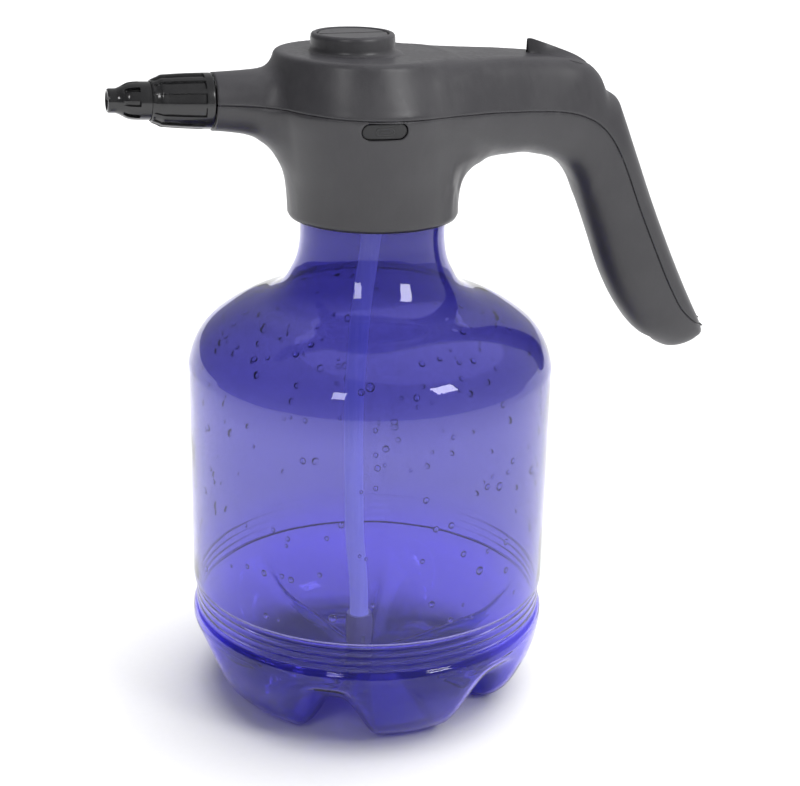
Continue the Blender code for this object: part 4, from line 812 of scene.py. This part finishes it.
def tip_table():
    """Eight slots, 1.5 mm deep, that end where the cone narrows."""
    offsets = np.array([-22.5, -16, -11.5, -9.3, -8.6, -8.2, -7.8, -6.8, -3, 0, 3, 6.8, 7.8, 8.2,
                        8.6, 9.3, 11.5, 16])
    turn = np.radians((np.arange(8)[:, None] * 45 + offsets).ravel())
    off = np.abs((np.degrees(turn) + 22.5) % 45 - 22.5)
    along = spread((18.6, 4), (27.9, 8), (28.7, 14), (33.6, 12), (36.9, 1), (37.1, 8), (39.4, 6),
                   (40.0,))
    skin = [(18.6, 7.2), (28.0, 7.2), (30.6, 7.05), (32.4, 6.7), (34.2, 5.8), (36.0, 4.9),
            (36.9, 4.62), (37.1, 4.6), (39.2, 4.6), (39.7, 4.45), (40.0, 4.05)]
    radius = through(skin, along)[:, None] + 0 * turn
    slots = (1 - ease(7.7, 8.5, off)) * (ease(28.2, 28.5, along)
                                         * (1 - ease(32.6, 34.6, along)))[:, None]
    radius = radius - 1.5 * slots
    bore = np.array([(40.0, 3.6), (39.6, 3.2), (37.4, 2.0), (37.4, 1.0), (30.6, 1.0), (29.5, 5.0),
                     (18.6, 5.4)])
    along = np.concatenate([along, bore[:, 0]])[:, None]
    return about_nozzle(along, np.vstack([radius, bore[:, 1:] + 0 * turn]), turn)


piece("nozzle_sleeve_form", closed(sleeve_table()), "nozzle", "black_plastic", ["nozzle_sleeve"],
      32)
piece("nozzle_tip_form", closed(tip_table()), "nozzle", "black_plastic", ["nozzle_tip"], 32)
print("the nozzle's tip ends at", (MOUTH + 40 * NOZZLE_WAY).round(2), "mm")

# %% [markdown]
# ## What a finger meets
# The rim stands on the flat top with a small fillet at its foot. The button inside it is a disc
# with one groove across, and behind it the head carries a fin for the thumb.

# %% Rim and button
RIM = ((14.0, 265.0), (14.0, 279.2), (14.2, 279.7), (14.6, 280.0), (15.2, 280.0), (15.9, 279.7),
       (16.3, 279.1), (16.5, 278.2), (16.5, 274.9), (16.7, 273.9), (17.2, 273.1), (18.0, 272.7),
       (19.0, 272.5), (19.6, 272.0), (19.2, 270.6), (16.5, 270.0), (16.5, 265.0))
piece("button_rim", lathe(RIM, 120, BUTTON), "head", "charcoal_abs", (), 40)


def button_surface(radius, top, skirt, wall, groove_half, groove_deep):
    """Rows run across the disc, one on each edge of the groove, so that its edges are sharp.

    A row at y reaches to the root of r^2 - y^2. The rows' ends are the disc's outline, and
    that outline, drawn to other radii and heights, makes the edge and the skirt.
    """
    flat = radius - 0.55
    edge = groove_half + 0.12
    near = np.array([groove_half, edge])
    away = flat * np.sin(np.linspace(0.12, math.pi / 2, 22))
    rows = np.concatenate([-away[::-1], -near[::-1], [0.0], near, away])
    deep = np.concatenate([0 * away, [0, 1], [1], [1, 0], 0 * away]) * groove_deep
    reach = np.sqrt(np.maximum(flat**2 - rows**2, 0))
    across = np.linspace(-1, 1, 41)
    top_x = reach[:, None] * across
    top_table = np.stack([top_x + BUTTON[0], rows[:, None] + 0 * top_x,
                          top - deep[:, None] + 0 * top_x], -1)
    loop = np.vstack([top_table[:, -1], top_table[-2:0:-1, 0]])
    way = loop[:, :2] - BUTTON
    way /= np.linalg.norm(way, axis=1)[:, None]
    rings = [loop]
    for r, z in ((radius - 0.3, top - 0.08), (radius - 0.08, top - 0.3), (radius, top - 0.6),
                 (radius, skirt), (radius - wall, skirt), (radius - wall, top - 2.0)):
        rings.append(np.column_stack([BUTTON + way * r, np.full(len(way), z)]))
    rings.append(np.tile([BUTTON[0], BUTTON[1], top - 2.0], (len(way), 1)))
    rings[1][:, 2] = np.minimum(rings[1][:, 2], loop[:, 2])
    side = closed(np.stack(rings), close_rows=False)
    lid = closed(top_table, close_rows=False, close_columns=False)
    if np.cross(*(lid[0][lid[1][0, k]] - lid[0][lid[1][0, 0]] for k in (1, 2)))[2] < 0:
        lid = (lid[0], lid[1][:, ::-1])
    points, triangles = together(lid, side)
    return weld(points, triangles)


piece("power_button_form", button_surface(13.55, 279.7, 272.2, 1.6, 0.55, 0.7), "button",
      "charcoal_abs", ["power_button"], 30)

# %% The button's spring
SPRING_R, WIRE_R, SPRING_LOW, SPRING_HIGH, SPRING_TURNS = 6.0, 0.45, 266.75, 276.9, 4


def coil():
    """A wire round a helix. The helix is r cos a, r sin a at an evenly rising height.

    Each ring of the wire stands across the helix: outward by cos b and upward by sin b.
    """
    steps = SPRING_TURNS * 24
    turn = np.linspace(0, SPRING_TURNS * 2 * math.pi, steps + 1)[:, None]
    ring = (np.arange(10) * 2 * math.pi / 10)[None]
    out = SPRING_R + WIRE_R * np.cos(ring)
    z = np.linspace(SPRING_LOW, SPRING_HIGH, steps + 1)[:, None] + WIRE_R * np.sin(ring)
    table = np.stack([BUTTON[0] + out * np.cos(turn), out * np.sin(turn), z], -1)
    ends = np.broadcast_to(table[[0, -1]].mean(1, keepdims=True), (2,) + table.shape[1:])
    return closed(np.concatenate([ends[:1], table, ends[1:]]), close_rows=False)


spring = piece("button_spring_form", coil(), "head", "steel", ["button_spring"], 60)
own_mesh(spring)

# %% The thumb's fin
FIN = ((64.1, 275.0), (64.6, 275.35), (65.4, 275.4), (69.0, 274.4), (74.5, 272.5), (79.5, 270.7),
       (83.5, 269.0), (87.5, 266.6), (90.5, 263.6))


def fin_surface():
    """Across the fin, the height falls from the crest to the head's skin as (1 - t)^2.2.

    Rows run along x. The crest and both flanks widen backward from a narrow upright front.
    """
    x = spread((64.1, 4), (65.4, 40), (90.5,))
    crest = through(FIN, x)
    skin = through([(60, 270.0), (72, 269.2), (81, 267.9), (88, 264.9), (92, 260.0)], x) - 0.5
    back = (np.clip((x - 64.1) / 21.0, 0, 1) ** 0.75)[:, None]
    flat = 0.45 + 4.6 * back
    reach = 0.8 + 7.0 * back * (1 - 0.7 * ease(78, 90, x)[:, None])
    u = np.concatenate([np.linspace(0, 0.9, 4), [0.99, 1.0], 1 + np.linspace(0.03, 1, 18) ** 1.3])
    u = np.concatenate([-u[:0:-1], u])
    across = np.sign(u) * (flat * np.minimum(np.abs(u), 1) + reach * np.maximum(np.abs(u) - 1, 0))
    t = np.clip(np.abs(u) - 1, 0, 1)
    z = skin[:, None] + np.maximum(crest - skin, 0.0)[:, None] * (1 - t) ** 2.2
    top = np.stack([x[:, None] + 0 * z, across, z], -1)
    under = top.copy()
    under[..., 2] = skin[:, None] - 5.0
    return closed(np.concatenate([top, under[:, ::-1]], axis=1))


fin_points, fin_faces = fin_surface()
print("the fin's crest is", fin_points[:, 2].max().round(1), "mm high")
piece("thumb_fin", (fin_points, fin_faces), "head", "charcoal_abs", (), 40)

# %% [markdown]
# ## The charging port
# The cover is a level oval laid on the round body. Its points start flat, as an oval in the side
# view, and each one's depth comes from the body's radius at that height.

# %% On the near side of the round body
def near_skin(x, z):
    """The y where the round body's near side is: the root of r(z)^2 - (x - middle)^2, negative."""
    middle = LEAN * ease(COLLAR_Z, TOP_Z, z)
    return -np.sqrt(through(BODY, z) ** 2 - (x - middle) ** 2)


def oval_rings(rings, count=96):
    """A ring for each (length, height, depth below the skin), a level oval with round ends.

    Going round, the outline's direction turns evenly on the round ends, and the two straight
    runs join them.
    """
    turn = (np.arange(count) + 0.5) * 2 * math.pi / count
    table = []
    for length, height, depth in rings:
        run = max(length - height, 0) / 2 * np.clip(np.cos(turn) * 6, -1, 1)
        x = PORT[0] + run + height / 2 * np.cos(turn)
        z = PORT[1] + height / 2 * np.sin(turn)
        table.append(np.stack([x, near_skin(x, z) + depth, z], -1))
    return np.stack(table)


COVER = ((0.0, 0.0, 0.45), (5.0, 1.2, 0.45), (10.0, 3.0, 0.45), (14.8, 4.3, 0.45),
         (16.0, 4.9, 0.47), (16.6, 5.5, 0.54), (16.9, 5.8, 0.7), (17.0, 5.9, 1.0),
         (17.0, 5.9, 1.9), (16.0, 4.9, 2.0), (9.2, 3.4, 2.0), (8.8, 3.0, 5.2), (8.4, 2.6, 5.6),
         (0.0, 0.0, 5.6))
TRAY = ((17.9, 6.8, 0.35), (17.8, 6.7, 2.9), (17.2, 6.1, 3.1), (12.4, 5.0, 3.1),
        (12.0, 4.6, 3.4), (12.0, 4.6, 4.8), (19.6, 8.4, 4.8), (19.6, 8.4, 1.6))
piece("port_cover_form", closed(oval_rings(COVER), close_rows=False), "flap", "black_rubber",
      ["port_cover"], 30)
piece("port_tray", closed(oval_rings(TRAY)), "head", "charcoal_abs", (), 40)
print("the port's skin stands at y =", near_skin(*PORT).round(2), "mm")

# %% [markdown]
# ## Inside the collar, and the screws' seats
# The collar's lining carries the screw ridge and ends in the deck that the pump stands on. Each
# case screw sits at the bottom of a round seat.

# %% Lining and seats
def lining_surface():
    """A bore whose radius is less by the screw ridge, below a deck with a hole in its middle."""
    turn = np.arange(144) * 2 * math.pi / 144
    bore_z = spread((208.9, 60), (230.9, 1), (231.0,))
    bore = np.full(len(bore_z), 30.5)[:, None] - ridge(
        bore_z[:, None], turn - math.pi / 2, RIDGE_Z + 0.75 * RIDGE_PITCH, RIDGE_TURNS - 0.5)
    before, after = [(33.4, 208.2), (31.2, 208.2)], [(4.6, 231.0), (4.6, 233.5), (33.8, 233.5)]
    radius = np.vstack([[[r] * 144 for r, _ in before], bore, [[r] * 144 for r, _ in after]])
    z = np.concatenate([[z for _, z in before], bore_z, [z for _, z in after]])[:, None]
    return closed(np.stack([radius * np.cos(turn), radius * np.sin(turn), z + 0 * turn], -1))


def seat_surface(place, lean):
    """A cup turned about the screw's own axis, then leaned about the y direction."""
    points, triangles = lathe(((SEAT_R, 0.4), (SEAT_R, 2.2), (SEAT_R - 0.2, 2.4), (1.9, 2.4),
                               (1.9, 9.0), (4.8, 9.0), (4.8, 0.9)), 40)
    way = np.array([math.sin(lean), 0.0, math.cos(lean)])
    side = np.array([math.cos(lean), 0.0, -math.sin(lean)])
    at = np.array([place[0], 0.0, place[1]])
    across = points[:, 1:2] * (0.0, 1.0, 0.0)
    return at + points[:, :1] * side + across + points[:, 2:] * way, triangles


piece("collar_lining", lining_surface(), "head", "charcoal_abs", (), 40)
piece("screw_seats", together(*(seat_surface(*place) for place in SCREWS)), "head",
      "charcoal_abs", (), 35)

# %% [markdown]
# ## The suction tube
# A ring is carried along a slightly bent line in the plane y = 0. The line's direction t gives
# the ring its two axes: y, and the direction square to both.

# %% Tube
def tube_surface(knots, radius, bore, count=40):
    """An outer and an inner wall: place + r cos a across the line + r sin a along y."""
    knots = np.asarray(knots, float)
    along = np.concatenate([[0], np.cumsum(np.hypot(*np.diff(knots, axis=0).T))])
    line = through(np.column_stack([along, knots]), np.linspace(0, along[-1], 90))
    way = np.gradient(line, axis=0)
    way /= np.hypot(*way.T)[:, None]
    turn = np.arange(count) * 2 * math.pi / count
    walls = []
    for r in (radius, bore):
        across = r * np.cos(turn)
        walls.append(np.stack([line[:, :1] - way[:, 1:] * across,
                               r * np.sin(turn) + 0 * line[:, :1],
                               line[:, 1:] + way[:, :1] * across], -1))
    return closed(np.vstack([walls[0], walls[1][::-1]]))


TUBE = ((0.0, 228.5), (-0.2, 205.0), (-4.5, 165.0), (-7.0, 120.0), (-6.2, 70.0), (-4.0, 40.5),
        (-3.6, 24.5))
piece("suction_tube_form", tube_surface(TUBE, 4.0, 2.7), "head", "milky_tube", ["suction_tube"],
      45)

# %% [markdown]
# ## The floor
# One large pale sheet, which is also the background.

# %% Floor
floor_points = np.array([(-6, -4), (6, -4), (6, 9), (-6, 9)]) * 1000.0
floor = as_object("floor", np.column_stack([floor_points, np.zeros(4)]), [[0, 1, 2, 3]])

# %% [markdown]
# ## Finishes
# Each finish is arithmetic on shader sockets. A small class wraps a socket, so that + - * / make
# Math nodes, and one method adds any other node.

# %% Arithmetic on sockets
class Wire:
    """One output of a shader tree. Python's operators on it add Math nodes."""

    def __init__(self, tree, socket):
        self.tree, self.socket = tree, socket

    def feed(self, target, value):
        """Links a wire to an input, or sets the input to a plain value."""
        if isinstance(value, Wire):
            self.tree.links.new(value.socket, target)
        elif value is not None:
            target.default_value = value

    def node(self, kind, inputs=(), out=0, **settings):
        """Any node by its type, its settings and its inputs {name or number: value or wire}."""
        made = self.tree.nodes.new(kind)
        for name, value in settings.items():
            setattr(made, name, value)
        for name, value in dict(inputs).items():
            self.feed(made.inputs[name], value)
        return Wire(self.tree, made.outputs[out])

    def maths(self, kind, first, second=None, third=None):
        return self.node("ShaderNodeMath", {0: first, 1: second, 2: third}, operation=kind)

    def __add__(self, other): return self.maths("ADD", self, other)
    def __sub__(self, other): return self.maths("SUBTRACT", self, other)
    def __mul__(self, other): return self.maths("MULTIPLY", self, other)
    def __truediv__(self, other): return self.maths("DIVIDE", self, other)
    def __pow__(self, other): return self.maths("POWER", self, other)
    def __radd__(self, other): return self.maths("ADD", other, self)
    def __rsub__(self, other): return self.maths("SUBTRACT", other, self)
    def __rmul__(self, other): return self.maths("MULTIPLY", other, self)
    def absolute(self): return self.maths("ABSOLUTE", self)
    def least(self, other): return self.maths("MINIMUM", self, other)
    def most(self, other): return self.maths("MAXIMUM", self, other)

    def ramp(self, low, high, to_low=0.0, to_high=1.0):
        """Eases from to_low to to_high as this wire goes from low to high."""
        return self.node("ShaderNodeMapRange", {0: self, 1: low, 2: high, 3: to_low, 4: to_high},
                         interpolation_type="SMOOTHSTEP")

    def noise(self, size, detail=2.0, roughness=0.5):
        """Cloudy noise at this place, with features of a size in millimetres."""
        return self.node("ShaderNodeTexNoise", {"Vector": self, "Scale": 1 / (size * MM),
                                                "Detail": detail, "Roughness": roughness})

    def stretched(self, x, y, z):
        return self.node("ShaderNodeMapping", {"Vector": self, "Scale": (x, y, z)})

    def parts(self):
        made = self.tree.nodes.new("ShaderNodeSeparateXYZ")
        self.feed(made.inputs[0], self)
        return [Wire(self.tree, out) for out in made.outputs]

    def tint(self, low, high):
        """This wire, 0 to 1, as a colour between two."""
        return self.node("ShaderNodeMix", {0: self, 6: (*low, 1.0), 7: (*high, 1.0)}, 2,
                         data_type="RGBA")

    def towards(self, share, colour):
        """This colour mixed towards another by a share of 0 to 1."""
        return self.node("ShaderNodeMix", {0: share, 6: self, 7: (*colour, 1.0)}, 2,
                         data_type="RGBA")

    def bump(self, depth):
        """This wire as a height of depth millimetres over the surface."""
        return self.node("ShaderNodeBump", {"Height": self, "Distance": depth * MM,
                                            "Strength": 1.0})


def finish(name, recipe, **constants):
    """A material: constants go straight on the shader, recipe(place) gives the rest as wires."""
    made = bpy.data.materials.new(name)
    made.use_nodes = True
    tree = made.node_tree
    skin = tree.nodes["Principled BSDF"]
    for socket, value in constants.items():
        skin.inputs[socket.replace("_", " ")].default_value = value
    place = Wire(tree, tree.nodes.new("ShaderNodeTexCoord").outputs["Object"])
    for socket, value in recipe(place).items():
        place.feed(skin.inputs[socket], value)
    return made


# %% Recipes
def moulded(dark, light, rough, grain, depth):
    """Moulded plastic: fine grain in the normal, cloudy roughness, slight tone changes."""
    def recipe(place):
        fine, cloud = place.noise(grain, 3.0, 0.6), place.noise(17.0, 3.0)
        rubbed = place.stretched(1.0, 1.0, 0.25).noise(2.2, 2.0)
        tone = (0.55 * cloud + 0.3 * fine + 0.15 * rubbed).ramp(0.38, 0.62)
        gloss = rough[0] + (rough[1] - rough[0]) * (0.6 * cloud + 0.4 * rubbed).ramp(0.4, 0.62)
        return {"Base Color": tone.tint(dark, light), "Roughness": gloss,
                "Normal": fine.bump(depth)}
    return recipe


def metal(dark, light, rough):
    """Bright or plated metal: fine drawn lines, a few dull patches."""
    def recipe(place):
        lines = place.stretched(1.0, 14.0, 14.0).noise(4.0, 4.0, 0.7)
        patch = place.noise(6.0, 3.0)
        return {"Base Color": (0.5 * lines + 0.5 * patch).ramp(0.35, 0.65).tint(dark, light),
                "Roughness": patch.ramp(0.4, 0.65, rough[0], rough[1]) + 0.1 * lines,
                "Normal": lines.bump(0.01)}
    return recipe


def board(place):
    """Solder mask with copper tracks under it: bands where a folded distance is small."""
    x, y, z = place.parts()
    lane = (x + 0.4 * y) / (2.6 * MM)
    laid = place.noise(9.0, 0.0).ramp(0.45, 0.5)
    track = lane.maths("PINGPONG", lane, 1.0).ramp(0.78, 0.86) * laid
    cloud = place.noise(5.0, 2.0)
    tone = 0.75 * track + 0.25 * cloud
    return {"Base Color": tone.tint((0.012, 0.09, 0.03), (0.05, 0.26, 0.09)),
            "Roughness": cloud.ramp(0.4, 0.6, 0.25, 0.4), "Normal": track.bump(0.05)}


def wrap(place):
    """The battery's shrink wrap: a light film with faint creases along its length."""
    crease = place.stretched(3.0, 3.0, 0.6).noise(5.0, 3.0)
    return {"Base Color": crease.ramp(0.35, 0.65).tint((0.09, 0.22, 0.42), (0.13, 0.30, 0.52)),
            "Roughness": crease.ramp(0.4, 0.6, 0.22, 0.38), "Normal": crease.bump(0.06)}


def pet(place):
    """Tinted bottle plastic: deeper at neck and base, where the wall was blown less thin."""
    z = place.parts()[2]
    flow = place.stretched(1.0, 1.0, 0.35).noise(60.0, 2.0)
    drift = 0.25 * (flow - 0.5)
    low = (z.ramp(0.066, 0.022) + drift).most(0.0).least(1.0)
    high = (z.ramp(0.131, 0.158) + drift).most(0.0).least(1.0)
    return {"Base Color": low.tint(PET_THIN, PET_LOW).towards(high, PET_HIGH),
            "Roughness": flow.ramp(0.3, 0.7, 0.0, 0.03),
            "Normal": place.noise(26.0, 1.0).bump(0.25)}


def paper(place):
    """The pale floor: faint grain in tone and gloss."""
    grain = place.noise(3.0, 2.0)
    return {"Base Color": grain.tint((0.70, 0.70, 0.705), (0.73, 0.73, 0.735)),
            "Roughness": grain.ramp(0.3, 0.7, 0.75, 0.85)}


def water(place):
    """Clear drops with the least ripple."""
    clear = place.noise(0.8, 1.0)
    return {"Base Color": clear.tint((0.93, 0.94, 0.97), (0.99, 0.99, 1.0)),
            "Roughness": clear.ramp(0.3, 0.7, 0.0, 0.02), "Normal": clear.bump(0.02)}


def milky(place):
    """Soft translucent tube with lines drawn along it."""
    drawn = place.stretched(1.0, 1.0, 0.05).noise(2.0, 2.0)
    return {"Base Color": drawn.ramp(0.35, 0.65).tint((0.62, 0.68, 0.86), (0.74, 0.79, 0.93)),
            "Roughness": drawn.ramp(0.4, 0.6, 0.3, 0.42), "Normal": drawn.bump(0.03)}


def port_face(place):
    """Soft black rubber with a faint raised outline of a plug's mouth, an oval ring."""
    x, y, z = place.parts()
    x = (x - (AXIS_X + PORT[0]) * MM).absolute()
    z = z - PORT[1] * MM
    away = ((x - 2.1 * MM).most(0.0) ** 2.0 + z * z) ** 0.5
    ring = 1.0 - ((away - 1.25 * MM).absolute()).ramp(0.22 * MM, 0.42 * MM)
    bar = 1.0 - z.absolute().ramp(0.16 * MM, 0.32 * MM).most(x.ramp(1.9 * MM, 2.1 * MM))
    face = y.ramp(-0.0345, -0.036)
    mark = ring.most(bar) * face
    fine, cloud = place.noise(0.5, 2.0), place.noise(7.0, 2.0)
    tone = 0.5 * cloud + 0.35 * mark
    return {"Base Color": tone.tint((0.010, 0.010, 0.011), (0.035, 0.035, 0.037)),
            "Roughness": cloud.ramp(0.4, 0.6, 0.5, 0.62),
            "Normal": (mark + 0.05 * fine).bump(0.22)}


PET_THIN, PET_HIGH, PET_LOW = (0.32, 0.31, 0.60), (0.14, 0.13, 0.42), (0.27, 0.23, 0.88)
FINISHES = {
    "charcoal_abs": finish("charcoal_abs", moulded((0.030, 0.029, 0.033), (0.038, 0.037, 0.041),
                                                   (0.34, 0.42), 0.45, 0.02)),
    "black_plastic": finish("black_plastic", moulded((0.006, 0.006, 0.007), (0.011, 0.011, 0.012),
                                                     (0.14, 0.26), 0.6, 0.008),
                            Coat_Weight=0.3),
    "violet_pet": finish("violet_pet", pet, Transmission_Weight=1.0, IOR=1.42),
    "black_rubber": finish("black_rubber", port_face),
    # The tube's emission is a painted glow. It stands in for light that the bottle's glass keeps
    # from reaching the tube.
    "milky_tube": finish("milky_tube", milky, Emission_Color=(0.5, 0.52, 1.0, 1.0),
                         Emission_Strength=0.55),
    "white_plastic": finish("white_plastic", moulded((0.70, 0.70, 0.68), (0.80, 0.80, 0.79),
                                                     (0.32, 0.45), 0.5, 0.015)),
    "steel": finish("steel", metal((0.46, 0.46, 0.47), (0.62, 0.62, 0.63), (0.22, 0.38)),
                    Metallic=1.0),
    "brass": finish("brass", metal((0.55, 0.38, 0.12), (0.72, 0.52, 0.20), (0.24, 0.4)),
                    Metallic=1.0),
    "green_board": finish("green_board", board, Coat_Weight=0.4),
    "cell_wrap": finish("cell_wrap", wrap, Coat_Weight=0.3),
    "red_wire": finish("red_wire", moulded((0.42, 0.016, 0.012), (0.56, 0.03, 0.02),
                                           (0.35, 0.5), 0.4, 0.015)),
    "black_wire": finish("black_wire", moulded((0.010, 0.010, 0.010), (0.022, 0.022, 0.022),
                                               (0.35, 0.5), 0.4, 0.015)),
}
drops.data.materials.append(finish("water", water, Transmission_Weight=1.0, IOR=1.33))
for thing in bpy.context.scene.objects:
    if thing.type == "MESH" and thing not in (drops, floor):
        chosen = thing.get("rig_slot")
        if chosen:
            thing.data.materials.clear()
            thing.data.materials.append(FINISHES[chosen])
        else:
            for place in thing.material_slots:
                place.material = FINISHES[place.material.name.split(".")[0]]
floor.data.materials.append(finish("paper", paper))
print(len(FINISHES), "finishes are on", len(frame["nodes"]), "nodes and the new pieces")

# %% [markdown]
# ## Camera and light
# A wide soft light overhead, white all round, and two small panels that show as highlights.

# %% Stage
def make_camera():
    """A long lens that looks down on the bottle, a little from the spout's side, barely rolled."""
    away, height, yaw, pan = 664.0, 375.7, math.radians(18.0), math.radians(1.08)
    pitch, roll = math.radians(20.25), math.radians(1.163)
    heading = yaw + pan
    ahead = Vector((math.sin(heading) * math.cos(pitch), math.cos(heading) * math.cos(pitch),
                    -math.sin(pitch)))
    right = Vector((math.cos(heading), -math.sin(heading), 0.0))
    up = right.cross(ahead)
    turned_right = right * math.cos(roll) + up * math.sin(roll)
    turned_up = up * math.cos(roll) - right * math.sin(roll)
    data = bpy.data.cameras.new("camera")
    data.sensor_width = 36.0
    data.lens = 76.16
    camera = bpy.data.objects.new("camera", data)
    bpy.context.scene.collection.objects.link(camera)
    place = in_frame([-away * math.sin(yaw), -away * math.cos(yaw), height])
    turn = Matrix((turned_right, turned_up, -ahead)).transposed().to_4x4()
    camera.matrix_world = Matrix.Translation(Vector(place)) @ turn
    data.clip_start = 0.01
    data.clip_end = 50.0
    bpy.context.scene.camera = camera


def make_sky():
    """Soft light from all round, a little stronger from the grip's side: 0.4 + 0.25 x."""
    world = bpy.data.worlds.new("studio")
    bpy.context.scene.world = world
    world.use_nodes = True
    tree = world.node_tree
    way = Wire(tree, tree.nodes.new("ShaderNodeTexCoord").outputs["Generated"])
    x = way.parts()[0]
    way.feed(tree.nodes["Background"].inputs["Strength"], 0.4 + 0.25 * x)
    tree.nodes["Background"].inputs["Color"].default_value = (1, 1, 1, 1)


def make_overhead(way, power, width):
    """A very wide, even light from above: its direction, power and angular width in degrees."""
    data = bpy.data.lights.new("overhead", "SUN")
    data.energy, data.angle = power, math.radians(width)
    lamp = bpy.data.objects.new("overhead", data)
    bpy.context.scene.collection.objects.link(lamp)
    lamp.rotation_euler = Vector(way).to_track_quat("Z", "Y").to_euler()
    lamp.visible_glossy = False


def make_panel(name, size, place, aim, power):
    """A small bright rectangle at a place in metres, turned to face its aim."""
    data = bpy.data.lights.new(name, "AREA")
    data.shape, data.energy = "RECTANGLE", power
    data.size, data.size_y = size
    lamp = bpy.data.objects.new(name, data)
    bpy.context.scene.collection.objects.link(lamp)
    lamp.location = place
    lamp.rotation_euler = (Vector(aim) - Vector(place)).to_track_quat("-Z", "Y").to_euler()


make_camera()
make_sky()
make_overhead((0.3, 0.12, 1.0), 5.0, 75)
make_panel("window_left", (0.2, 0.3), (-0.75, -0.9, 0.95), (0, 0, 0.15), 2)
make_panel("window_right", (0.3, 0.3), (0.55, -0.85, 0.9), (0, 0, 0.15), 4)
bpy.context.scene.view_settings.view_transform = "Standard"
